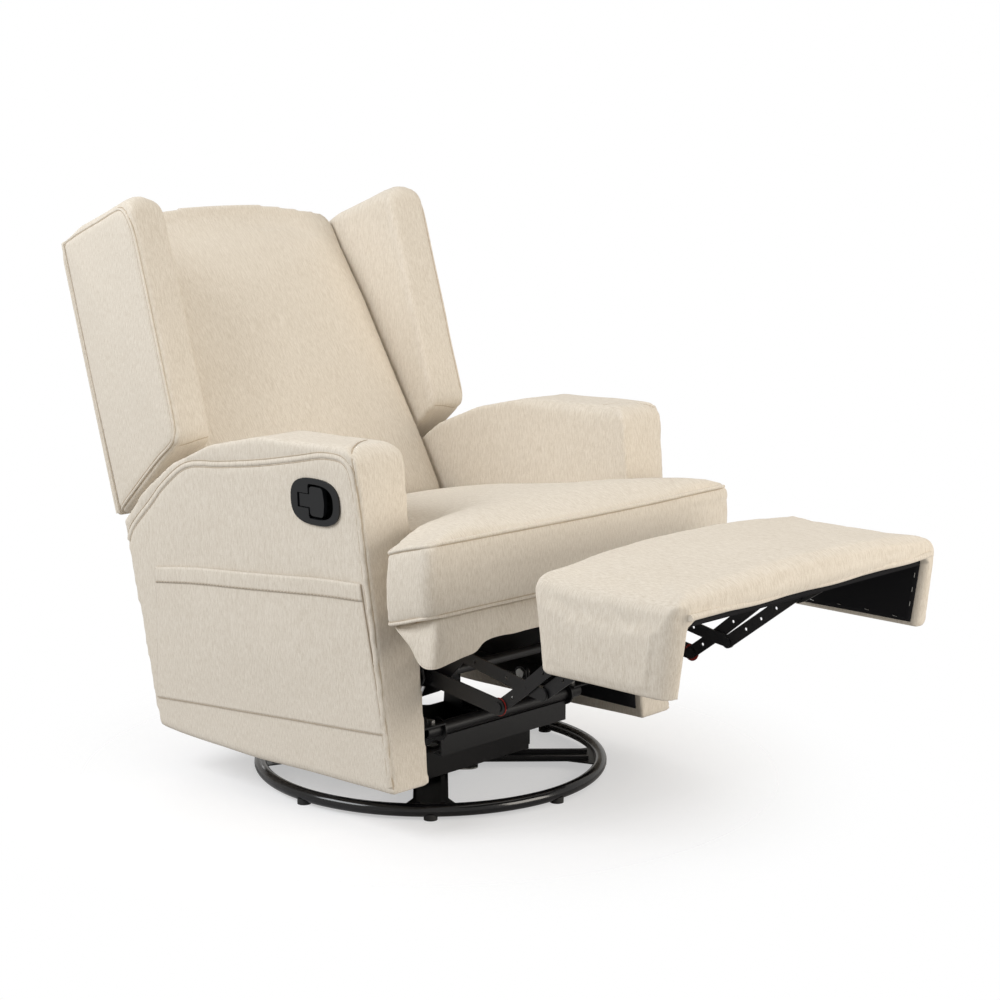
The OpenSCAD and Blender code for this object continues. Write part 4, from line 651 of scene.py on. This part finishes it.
def arm(side):
    """One arm cover, with side -1 for the right arm and 1 for the left."""
    label = "right" if side < 0 else "left"
    bm = bmesh.new()
    for v in nodes["arm_cover_" + label].data.vertices:
        bm.verts.new(v.co)
    bmesh.ops.remove_doubles(bm, verts=bm.verts, dist=0.00002)
    hull = bmesh.ops.convex_hull(bm, input=bm.verts)
    spare = {v for key in ("geom_interior", "geom_unused") for v in hull[key]
             if isinstance(v, bmesh.types.BMVert)}
    bmesh.ops.delete(bm, geom=list(spare), context="VERTS")
    mesh = bpy.data.meshes.new("arm_cushioning_" + label)
    bm.to_mesh(mesh)
    bm.free()
    obj = piece("arm_cushioning_" + label, mesh, cream, "chair")
    skinned(obj, 0.005, 18)
    waved(obj, 0.0016, 0.11)
    rows = points_of(obj.data)
    front_low, rear_low = (rows[np.abs(rows[:, 1] - y) < 0.01, 2].min() for y in (-0.25, 0.32))
    low = front_low + (rear_low - front_low) * (rows[:, 1] + 0.25) / 0.57
    sag = ARM_SAG + ARM_SAG_MORE * np.sin(np.pi * np.clip((rows[:, 1] + 0.30) / 0.68, 0, 1) ** 1.6)
    rows[:, 2] -= sag * np.clip(1 - (rows[:, 2] - low) / ARM_SAG_REACH, 0, 1)
    put_points(obj.data, rows)
    tree = skin_tree(obj)
    outer = []
    for y, z in WELT_LINE:
        hit = tree.ray_cast(Vector((side * 0.6, y, z)), Vector((-side, 0, 0)))[0]
        outer.append(hit)
    outer = along(outer)
    front = laid(tree, along([(-side * x, y, z) for x, y, z in FRONT_LINE]))
    press(obj, outer, 0.0022, 0.008)
    press(obj, front, 0.0035, 0.0035)
    tree = skin_tree(obj)
    welt("arm_welt_" + label, tree, outer, 0.0095, 0.0022, cream, "chair")
    # Thin dark lines beside the welt and along the front seam are painted shade.
    edges = []
    for gap in (-0.0055, 0.0055):
        rim = [rim_beside(outer, side, gap, i) for i in range(len(outer))]
        edges.append((laid(tree, rim, -0.0001), False))
    piping("arm_welt_shadow_" + label, edges, 0.0007, painted_seam_shade, "chair")
    piping("arm_front_seam_shade_" + label, [(laid(tree, front, 0.0002), False)], 0.0011, painted_seam_shade,
           "chair")
    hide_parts("arm_cover_" + label)
    if side < 0:
        bm = bmesh.new()
        bm.from_mesh(obj.data)
        cut = []
        for face in bm.faces:
            inside = all((abs(v.co.y - HANDLE_PLACE.y) / HANDLE_OPENING[0]) ** OVAL_POWER
                         + (abs(v.co.z - HANDLE_PLACE.z) / HANDLE_OPENING[1]) ** OVAL_POWER < 1
                         and v.co.x < -0.37 for v in face.verts)
            if inside:
                cut.append(face)
        bmesh.ops.delete(bm, geom=cut, context="FACES")
        rim = [e for e in bm.edges if e.is_boundary]
        grown = bmesh.ops.extrude_edge_only(bm, edges=rim)
        inner = [v for v in grown["geom"] if isinstance(v, bmesh.types.BMVert)]
        bmesh.ops.translate(bm, verts=inner, vec=(0.03, 0, 0))
        bmesh.ops.recalc_face_normals(bm, faces=bm.faces)
        bm.to_mesh(obj.data)
        bm.free()
    return obj, tree


arm_right, arm_right_tree = arm(-1)
arm(1)
print("arm faces", len(arm_right.data.polygons))

# %% [markdown]
# The seat cushion is one T-shaped piece whose ears stand in front of the arms. Its two seams follow
# the same heights as in the CAD source. Cloth swells the top and the border between them.

# %% Seat cushion
SEAT_HALF, SEAT_FRONT, SEAT_BOW = 0.3865, 0.386, 0.017
SEAT_TIP, SEAT_EAR, SEAT_SIDE, SEAT_REAR = 0.290, 0.2466, 0.2765, 0.221
SEAT_BASE, SEAT_RAIL, SEAT_LIFT = 0.3893, 0.325, 0.015
BORDER_FRONT, BORDER_REAR = 0.122, 0.066
EAR_DROOP, EAR_FIRM, EAR_DEPTH = 0.013, 0.3225, 0.096
EAR_SWELL = 0.005


def base_seam(y):
    """Height of the seat cushion's lower seam."""
    return SEAT_BASE + SEAT_LIFT * max(0, (-y - SEAT_RAIL) / (SEAT_FRONT - SEAT_RAIL))


def top_seam(y):
    """Height of the seat cushion's top seam."""
    share = (SEAT_REAR - y) / (SEAT_REAR + SEAT_FRONT)
    return SEAT_BASE + BORDER_REAR + (SEAT_LIFT + BORDER_FRONT - BORDER_REAR) * share


def ear_droop(x, y):
    """How far an ear hangs down."""
    out = max(0, (abs(x) - EAR_FIRM) / (SEAT_HALF - EAR_FIRM))
    return EAR_DROOP * out * min(1, max(0, (y + SEAT_FRONT) / EAR_DEPTH)) ** 2


def seat_plan():
    """The cushion's outline seen from above."""
    right = [(SEAT_HALF, -SEAT_TIP), (SEAT_SIDE, -SEAT_EAR), (SEAT_SIDE, SEAT_REAR)]
    left = [(-x, y) for x, y in reversed(right)]
    corners = right + left + [(-SEAT_HALF, -SEAT_FRONT), (0, -SEAT_FRONT - SEAT_BOW),
                              (SEAT_HALF, -SEAT_FRONT)]
    return rounded(corners, [0.006, 0.006, 0.024, 0.024, 0.006, 0.006, 0.020, 0.9, 0.020])


def ears_out(x):
    """The ears swell sideways a little, so their places across move out."""
    return x + np.sign(x) * EAR_SWELL * np.clip((np.abs(x) - 0.33) / 0.04, 0, 1)


seat = piece("seat_cushioning", closed_copy("seat_cushion"), cream, "chair")
skinned(seat, 0.006)
rows = points_of(seat.data)
base = np.array([base_seam(y) - ear_droop(x, y) for x, y, z in rows])
crest = np.array([top_seam(y) - ear_droop(x, y) for x, y, z in rows])
held = ((rows[:, 2] < base + 0.006) | (np.abs(rows[:, 2] - crest) < 0.007)
        | ((rows[:, 2] < crest) & (rows[:, 1] > -0.25)))
puffed(seat, held, 0.008)
waved(seat, 0.0035, 0.16, points_of(seat.data)[:, 2] < crest - 0.02)
rows = points_of(seat.data)
crown = np.clip((rows[:, 2] - crest - 0.004) / 0.008, 0, 1)
crown = crown * np.clip((np.abs(rows[:, 0]) - 0.20) / 0.10, 0, 1)
rows[:, 2] += EAR_SWELL * crown * np.clip((-0.20 - rows[:, 1]) / 0.05, 0, 1)
rows[:, 0] = ears_out(rows[:, 0])
put_points(seat.data, rows)
plan_path = along([(p.x, p.y, 0) for p in seat_plan()], 0.004, True)
top_path = [Vector((ears_out(p.x * 0.99), p.y * 0.99, top_seam(p.y) - ear_droop(p.x, p.y)))
            for p in plan_path]
low_path = [Vector((ears_out(p.x * 0.99), p.y * 0.99,
                    base_seam(p.y) + 0.002 - ear_droop(p.x, p.y))) for p in plan_path]
press(seat, top_path, 0.003, 0.007)
press(seat, low_path, 0.002, 0.006)
seat_tree = skin_tree(seat)
welt_top = laid(seat_tree, top_path, 0.0018, True)
welt_low = laid(seat_tree, low_path, 0.0012, True)
piping("seat_piping", [(welt_top, True), (welt_low, True)], 0.0031, cream, "chair")
# Thin dark lines under the top piping and over the lower one are painted shade.
under = [p + Vector((0, 0, -0.0042)) for p in welt_top]
over = [p + Vector((0, 0, 0.0038)) for p in welt_low]
piping("seat_seam_shadow", [(laid(seat_tree, under, 0.0002, True), True),
                            (laid(seat_tree, over, 0.0002, True), True)], 0.0009, painted_seam_shade,
       "chair")
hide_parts("seat_cushion")
print("seat cushion top", max(points_of(seat.data)[:, 2]))

# %% [markdown]
# The back and the wings lean with the back frame. A small tool turns a place in that frame into the
# chair's own: x across, w back from the face and v up along it.

# %% Back cushion and wings
BACK_HINGE = Vector((0, 0.280, 0.400))
BACK_TILT = math.radians(17)
BACK_FULLER, BACK_RAISED = 0.009, 0.004
WING_OUT, WING_AHEAD = 0.005, 0.004


def in_back(x, w, v):
    """A place on the back, given along its own axes."""
    return BACK_HINGE + Vector((x, w * math.cos(BACK_TILT) + v * math.sin(BACK_TILT),
                                v * math.cos(BACK_TILT) - w * math.sin(BACK_TILT)))


def of_back(rows):
    """Points in the back's own axes."""
    y, z = rows[:, 1] - BACK_HINGE.y, rows[:, 2] - BACK_HINGE.z
    c, s = math.cos(BACK_TILT), math.sin(BACK_TILT)
    return rows[:, 0], y * c - z * s, y * s + z * c


back = piece("back_cushioning", closed_copy("back_cushion"), cream, "back")
skinned(back, 0.006)
x, w, v = of_back(points_of(back.data))
held = (w > 0.085) | (np.abs(x) > 0.262) | (v < 0.03) | (normals_of(back.data)[:, 1] > 0.3)
puffed(back, held, 0.007)
x, w, v = of_back(points_of(back.data))
waved(back, 0.004, 0.2, (np.abs(x) > 0.265) | (w > 0.09))
softened(back, (w > 0.02) & (v > 0.60), 3)
rows = points_of(back.data)
fuller = np.clip((np.abs(x) - 0.14) / 0.10, 0, 1) * np.clip((0.09 - w) / 0.03, 0, 1)
fuller *= np.clip(v / 0.15, 0, 1) * np.clip((0.66 - v) / 0.06, 0, 1)
rows[:, 1] -= BACK_FULLER * fuller
rows[:, 2] += BACK_RAISED * np.clip((v - 0.50) / 0.1, 0, 1) * np.clip((0.09 - w) / 0.05, 0, 1)
put_points(back.data, rows)
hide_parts("back_cushion")

WING_EDGE = [(0.1423, 0.1139), (0.0659, 0.1517), (-0.0070, 0.1862), (-0.0500, 0.2020),
             (-0.0660, 0.2120), (-0.0720, 0.2330), (-0.0730, 0.3158), (-0.0735, 0.4430),
             (-0.0735, 0.5524), (-0.0710, 0.6000), (-0.0600, 0.6310), (-0.0350, 0.6400),
             (-0.0173, 0.6396), (0.0600, 0.6350), (0.1427, 0.6232)]
WING_FOOT = [(0.3598, 0.2830, 0.6105), (0.3525, 0.2841, 0.6052), (0.3186, 0.2762, 0.6134),
             (0.2877, 0.2746, 0.6169)]


def wing(side):
    """One wing, with side -1 for the right wing and 1 for the left."""
    label = "right" if side < 0 else "left"
    obj = piece("wing_cushioning_" + label, closed_copy("wing_" + label), cream, "back")
    skinned(obj, 0.005)
    x, w, v = of_back(points_of(obj.data))
    softened(obj, (np.abs(x) < 0.315) & (w < -0.040) & (v > 0.21), 12)
    waved(obj, 0.0014, 0.1)
    rows = points_of(obj.data)
    x, w, v = of_back(rows)
    full = np.clip((0.02 - w) / 0.09, 0, 1) * np.clip((np.abs(x) - 0.30) / 0.05, 0, 1)
    rows[:, 0] += side * WING_OUT * full
    rows[:, 1] -= WING_AHEAD * math.cos(BACK_TILT) * full
    rows[:, 2] += WING_AHEAD * math.sin(BACK_TILT) * full
    put_points(obj.data, rows)
    tree = skin_tree(obj)
    outer = laid(tree, along([in_back(side * 0.3635, w, v) for w, v in WING_EDGE]))
    foot = laid(tree, along([(side * x, y, z) for x, y, z in WING_FOOT]))
    press(obj, outer, 0.0026, 0.006)
    press(obj, foot, 0.0018, 0.005)
    tree = skin_tree(obj)
    piping("wing_piping_" + label, [(laid(tree, outer, 0.0008), False)], 0.0026, cream, "back")
    # The thin dark lines beside the piping and along the foot seam are painted shade.
    lines = [(laid(tree, foot, 0.0002), False)]
    for gap in (-0.0036, 0.0036):
        rim = [rim_beside(outer, side, gap, i) for i in range(len(outer))]
        lines.append((laid(tree, rim), False))
    piping("wing_seam_shades_" + label, lines, 0.0008, painted_seam_shade, "back")
    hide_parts("wing_" + label)


wing(-1)
wing(1)
print("back top", max(points_of(back.data)[:, 2]))

# %% [markdown]
# The footrest is a soft board with two hanging flaps. Its cloth wrinkles where the flaps fold down.
# The flaps' front edges are rounded, and the right front corner is rounder than the left one.

# %% Footrest pad
PAD_HALF, PAD_TOP, PAD_FLAP, PAD_FRONT = 0.343, 0.503, 0.350, 0.861
PAD_LEAN, PAD_DEPTH, PAD_REAR = 0.022, 0.153, 0.556
PAD_CORNERS = {-1: 0.042, 1: 0.012}
INNER_HALF, INNER_CORNER = 0.3130, 0.016
pad = piece("footrest_padding", closed_copy("footrest_pad"), cream, "footrest")
skinned(pad, 0.0045)
rows = points_of(pad.data)
inside = (np.abs(rows[:, 0]) < PAD_HALF - 0.026) & (rows[:, 2] < PAD_TOP - 0.028)
held = inside | (rows[:, 2] < PAD_FLAP + 0.012)
puffed(pad, held, 0.004)
rows = points_of(pad.data)
corner = np.where(rows[:, 0] < 0, PAD_CORNERS[-1], PAD_CORNERS[1])
corner_x, corner_y = PAD_HALF - corner, PAD_FRONT - corner
lean = PAD_LEAN * np.clip((PAD_TOP - rows[:, 2]) / PAD_DEPTH, 0, 1)
ahead = -rows[:, 1] + lean - corner_y
aside = np.abs(rows[:, 0]) - corner_x
reach_out = np.hypot(ahead, aside)
turned = (ahead > 0) & (aside > 0) & (reach_out > corner)
scale = np.where(turned, corner / np.maximum(reach_out, 1e-6), 1.0)
rows[:, 0] = np.where(turned, np.sign(rows[:, 0]) * (corner_x + aside * scale), rows[:, 0])
rows[:, 1] = np.where(turned, -(corner_y + ahead * scale - lean), rows[:, 1])
corner_x, corner_y = INNER_HALF + INNER_CORNER, PAD_FRONT - INNER_CORNER
ahead = -rows[:, 1] + lean - corner_y
aside = corner_x - np.abs(rows[:, 0])
reach_out = np.hypot(ahead, aside)
nosed = (ahead > 0) & (aside > 0) & (aside < 0.022) & (reach_out > INNER_CORNER)
nosed &= rows[:, 2] < 0.462
scale = np.where(nosed, INNER_CORNER / np.maximum(reach_out, 1e-6), 1.0)
rows[:, 0] = np.where(nosed, np.sign(rows[:, 0]) * (corner_x - aside * scale), rows[:, 0])
rows[:, 1] = np.where(nosed, -(corner_y + ahead * scale - lean), rows[:, 1])
rows[:, 0] += np.sign(rows[:, 0]) * 0.004 * np.clip((np.abs(rows[:, 0]) - 0.320) / 0.018, 0, 1)
put_points(pad.data, rows)
softened(pad, turned, 2)
rows = points_of(pad.data)
waved(pad, 0.0012, 0.10, (np.abs(rows[:, 0]) < PAD_HALF - 0.02) & (rows[:, 2] < PAD_TOP - 0.025))
rows = points_of(pad.data)
softened(pad, (rows[:, 2] > PAD_TOP - 0.012) & (np.abs(rows[:, 0]) < PAD_HALF - 0.02), 2)
pad_tree = skin_tree(pad)
folds = [(-0.72, -0.343, 0.478, -0.775, -0.345, 0.452, 0.0016),
         (-0.845, -0.318, 0.494, -0.858, -0.338, 0.466, 0.0020),
         (-0.600, -0.340, 0.482, -0.640, -0.345, 0.462, 0.0014),
         (-0.862, -0.300, 0.488, -0.865, -0.190, 0.478, 0.0012),
         (-0.862, 0.300, 0.488, -0.865, 0.190, 0.478, 0.0014),
         (-0.845, 0.318, 0.494, -0.858, 0.338, 0.466, 0.0018),
         (-0.640, 0.344, 0.480, -0.720, 0.345, 0.460, 0.0014)]
for y0, x0, z0, y1, x1, z1, depth in folds:
    middle = ((x0 + x1) / 2, (y0 + y1) / 2, (z0 + z1) / 2 - 0.003)
    press(pad, laid(pad_tree, along([(x0, y0, z0), middle, (x1, y1, z1)])), depth, 0.006)
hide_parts("footrest_pad")
print("pad faces", len(pad.data.polygons))

# %% [markdown]
# The skirt is a strip of cloth that hangs from the cushion's lower seam, round both ears. It hangs
# in soft folds, lowest at the corners.

# %% Skirt
SKIRT_HEM = [(0.000, 0.3560), (0.149, 0.3550), (0.220, 0.3560), (0.2568, 0.3493), (0.2809, 0.3377),
             (0.3129, 0.3336), (0.3404, 0.3288), (0.3756, 0.3255)]
SKIRT_SIDE = [(0.3756, -0.380, 0.3248), (0.3790, -0.3601, 0.3262), (0.3780, -0.3352, 0.3514),
              (0.3770, -0.3053, 0.3718), (0.3760, -0.2960, 0.3790)]
hem_half = along([(x, -0.3935 + 0.010 * (x / 0.38) ** 2, z) for x, z in SKIRT_HEM] + SKIRT_SIDE[1:],
                 0.004)
hem = [Vector((-p.x, p.y, p.z)) for p in reversed(hem_half[1:])] + hem_half
n = len(hem)


def skirt_top(x, y):
    """The place on the cushion's lower seam above a place on the hem."""
    spot = Vector((x, y, base_seam(y) - ear_droop(x, y)))
    inward = Vector((0, -0.262, spot.z)) - spot
    return spot + inward.normalized() * 0.007


def skirt_place(s, t):
    """A place on the skirt, with s along it and t down from its seam."""
    low = hem[round(s * (n - 1))]
    high = skirt_top(low.x * 0.995, low.y + 0.004)
    high.z = min(high.z, 0.4030)
    p = high.lerp(low, t)
    out = Vector((low.x * 0.35, low.y, 0)).normalized()
    along_it = s * (n - 1) * 0.004
    fold = (math.sin(along_it * 44 + 1.1) * 0.5 + math.sin(along_it * 71 + 0.4) * 0.35
            + math.sin(along_it * 23) * 0.4)
    sag = 0.0035 * math.sin(math.pi * t) * (1 + 0.6 * math.sin(along_it * 17))
    return p + out * (0.0065 * fold * t ** 1.2 + sag)


skirt = piece("hanging_skirt", grid_mesh("hanging_skirt", n - 1, 18, skirt_place), cream, "chair")
thickened(skirt, 0.0016)
hem_cord = [skirt_place(i / (n - 1), 1.0) for i in range(n)]
skirt_hem = piping("skirt_hem", [(hem_cord, False)], 0.0013, cream, "chair")
for cloth_piece in (skirt, skirt_hem):
    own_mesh(cloth_piece)
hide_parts("seat_skirt")

# %% [markdown]
# The side pocket lies on the right arm's outer panel. Its top edge has a sewn hem and stands a
# little off the arm. Short stitches in the darker seam cloth run along the hem, and thin lines of
# painted shade mark its sewn edges and the foot of the hem.

# %% Side pocket
POCKET_CORNERS = {"front_low": (-0.2590, 0.1885), "rear_low": (0.3375, 0.1390),
                  "front_high": (-0.2235, 0.4385), "rear_high": (0.3180, 0.3860)}
POCKET_STEPS, HEM_LOW, HEM_DEPTH, STITCH_LINE = 130, 0.885, 0.118, 0.893


def arm_face(y, z, lift):
    """A place on the right arm's outer face."""
    spot = arm_right_tree.ray_cast(Vector((-0.6, y, z)), Vector((1, 0, 0)))[0]
    return spot + Vector((-lift, 0, 0))


def pocket_place(s, t):
    """A place on the pocket, with s from its rear to its front and t from its seam to its hem."""
    c = POCKET_CORNERS
    low = [c["rear_low"][k] + (c["front_low"][k] - c["rear_low"][k]) * s for k in (0, 1)]
    high = [c["rear_high"][k] + (c["front_high"][k] - c["rear_high"][k]) * s for k in (0, 1)]
    y, z = (low[k] + (high[k] - low[k]) * t for k in (0, 1))
    z += (0.006 * math.sin(math.pi * s) + 0.0015 * math.sin(9 * s)) * t ** 2
    bow = math.sin(math.pi * s) ** 0.5
    lift = 0.0012 + bow * (0.0026 * t + 0.0012 * math.sin(math.pi * t))
    return arm_face(y, z, lift)


def hem_place(s, t):
    """A place on the pocket's hem band."""
    lift = 0.0010 + 0.0005 * math.sin(math.pi * t)
    return pocket_place(s, HEM_LOW + HEM_DEPTH * t) + Vector((-lift, 0, 0))


def pocket_line(t, lift):
    """A line across the pocket at one height."""
    return [pocket_place(i / POCKET_STEPS, t) + Vector((-lift, 0, 0))
            for i in range(POCKET_STEPS + 1)]


pocket = piece("pocket_cloth", grid_mesh("pocket_cloth", POCKET_STEPS, 60, pocket_place), cream,
               "chair")
thickened(pocket, 0.0014)
band = piece("pocket_hem", grid_mesh("pocket_hem", POCKET_STEPS, 6, hem_place), cream, "chair")
thickened(band, 0.0011)
stitch_line = pocket_line(STITCH_LINE, 0.0030)
stitches = [(stitch_line[i:i + 2], False) for i in range(1, POCKET_STEPS - 1, 2)]
# The line below the hem and the lines along the front and bottom edges are painted shade.
hem_shadow = piping("pocket_hem_shade", [(pocket_line(HEM_LOW, 0.0010), False)], 0.0005, painted_seam_shade,
                    "chair")
hem_thread = piping("pocket_stitches", stitches, 0.0007, painted_seam_shade, "chair")
front_edge = [pocket_place(1.0, i / 60) + Vector((-0.0003, 0, 0)) for i in range(61)]
edge_shade_line = piping("pocket_edge", [(front_edge, False), (pocket_line(0.0, 0.0004), False)], 0.0007,
                   painted_seam_shade, "chair")
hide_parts("side_pocket")

# %% [markdown]
# The unseen sides are covered too: a panel behind the back with piping round it, and a panel
# between the arms below it. The linings further on are flat sheets with a little slack.

# %% Rear panels
outside = piece("outside_back_panel", closed_copy("outside_back"), cream, "back")
skinned(outside, 0.0025, 1)
x, w, v = of_back(points_of(outside.data))
rim_top = [(q, max(v[np.abs(x - q) < 0.006])) for q in np.linspace(-0.3595, 0.3595, 60)]
rim_side = [(0.3605, q) for q in np.linspace(0.112, 0.600, 50)]
rim = [(-a, b) for a, b in rim_side] + rim_top + list(reversed(rim_side))
rim_path = eased([in_back(a, 0.1470, b) for a, b in rim], rounds=4)
piping("outside_back_piping", [(rim_path, False)], 0.0028, cream, "back")
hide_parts("outside_back")
rear = piece("rear_cover_panel", closed_copy("rear_panel"), cream, "chair")
skinned(rear, 0.0035, 1)
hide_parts("rear_panel")


SHEET_THICK = 0.0012


def panel(name, corners, body):
    """A flat four-cornered sheet of black lining with a little slack."""
    a, b, c, d = (Vector(p) for p in corners)
    normal = (b - a).cross(d - a).normalized()

    def place(s, t):
        spot = a.lerp(b, s).lerp(d.lerp(c, s), t)
        return spot + normal * (0.0004 * math.sin(9 * s + 4 * t))

    obj = piece(name, grid_mesh(name, 24, 12, place), lining, body)
    thickened(obj, SHEET_THICK)
    return obj


print("panels ready")

# %% [markdown]
# Black lining closes the inner faces of the arms. Under the seat, woven straps cross each other
# over and under, from rail to rail of the seat frame.

# %% Arm linings and webbing
DUST_X, DUST_LOW, DUST_TOP = 0.2768, 0.104, 0.338
for side, label in ((-1, "right"), (1, "left")):
    lining_panel = panel("arm_lining_" + label,
                         [(side * DUST_X, 0.3270, DUST_LOW), (side * DUST_X, -0.2610, DUST_LOW),
                          (side * DUST_X, -0.2360, DUST_TOP), (side * DUST_X, 0.3700, DUST_TOP)],
                         "chair")
    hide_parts("arm_dust_covers")
STRAP_WIDTH, STRAP_Z = 0.048, 0.3876
DECK_REAR, DECK_FRONT, DECK_HALF = 0.2430, -0.3180, 0.2710
LONG_STRAPS = [(i - 2) * 0.0928 for i in range(5)]
CROSS_STRAPS = [-0.1892 + i * 0.1098 for i in range(4)]


def strap(name, start, end, across, crossings, phase):
    """A woven strap that goes over and under the ones it crosses."""
    start, end, across = Vector(start), Vector(end), Vector(across)

    def place(s, t):
        p = start.lerp(end, s) + across * (t - 0.5)
        run = (end - start).length * s
        wave = sum((1 if (k + phase) % 2 else -1) * math.exp(-((run - c) / 0.03) ** 2)
                   for k, c in enumerate(crossings))
        return p + Vector((0, 0, 0.0011 * wave))

    obj = piece(name, grid_mesh(name, 120, 6, place), strap_mat, "chair")
    thickened(obj, SHEET_THICK)
    return obj


straps = []
for i, x in enumerate(LONG_STRAPS):
    straps.append(strap("webbing_long_%d" % (i + 1), (x, DECK_REAR, STRAP_Z),
                        (x, DECK_FRONT, STRAP_Z), (STRAP_WIDTH, 0, 0),
                        [DECK_REAR - y for y in reversed(CROSS_STRAPS)], i))
for i, y in enumerate(CROSS_STRAPS):
    straps.append(strap("webbing_cross_%d" % (i + 1), (-DECK_HALF, y, STRAP_Z),
                        (DECK_HALF, y, STRAP_Z), (0, STRAP_WIDTH, 0),
                        [DECK_HALF + x for x in LONG_STRAPS], i + 1))
for woven in straps:
    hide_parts("seat_webbing")

print("straps", len(straps))

# %% [markdown]
# The footrest is lined in black on the inside of both flaps and below its board. The lining is
# stapled along its edges, and the pad's cloth is rolled in under the front edge.

# %% Footrest lining, roll and staples
CLOTH_HALF, CLOTH_LOW, CLOTH_TOP = 0.3118, 0.3580, 0.4575
CLOTH_REAR, CLOTH_REAR_LEAN, CLOTH_FRONT = PAD_REAR + 0.008, 0.030, PAD_FRONT - 0.014


def foot_span(z):
    """Where the footrest lining starts and ends at a height."""
    share = (PAD_TOP - z) / PAD_DEPTH
    return -CLOTH_REAR - CLOTH_REAR_LEAN * share, -CLOTH_FRONT + PAD_LEAN * share


low_rear, low_front = foot_span(CLOTH_LOW)
high_rear, high_front = foot_span(CLOTH_TOP)
for side, label in ((-1, "right"), (1, "left")):
    x = side * CLOTH_HALF
    foot_lining = panel("footrest_lining_" + label,
                        [(x, low_rear, CLOTH_LOW), (x, low_front, CLOTH_LOW),
                         (x, high_front, CLOTH_TOP), (x, high_rear, CLOTH_TOP)],
                        "footrest")
    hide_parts("footrest_dust_cloth")
foot_under = panel("footrest_lining_top",
                   [(-CLOTH_HALF, high_rear, CLOTH_TOP), (CLOTH_HALF, high_rear, CLOTH_TOP),
                    (CLOTH_HALF, high_front, CLOTH_TOP), (-CLOTH_HALF, high_front, CLOTH_TOP)],
                   "footrest")
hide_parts("footrest_dust_cloth")
roll = [Vector((x, -0.8535 + 0.002 * math.cos(9 * x), 0.4770 - 0.0025 * math.cos(x / 0.31 * 1.5)
                - 0.0012 * math.sin(31 * x))) for x in np.linspace(-0.319, 0.319, 60)]
piping("footrest_front_roll", [(roll, False)], 0.0055, cream, "footrest")
staples = []
for side in (-1, 1):
    x = side * (CLOTH_HALF - 0.001)
    for y in np.linspace(-0.630, -0.800, 4):
        p = Vector((x, y, 0.3635 + 0.0015 * math.sin(90 * y)))
        staples.append(([p, p + Vector((0, 0.008, 0.001))], False))
    for z in np.linspace(0.385, 0.435, 3):
        p = Vector((x, foot_span(z)[1] + 0.006, z))
        staples.append(([p, p + Vector((0, -0.001, 0.008))], False))
piping("footrest_staples", staples, 0.0006, zinc, "footrest")
print("staples", len(staples))
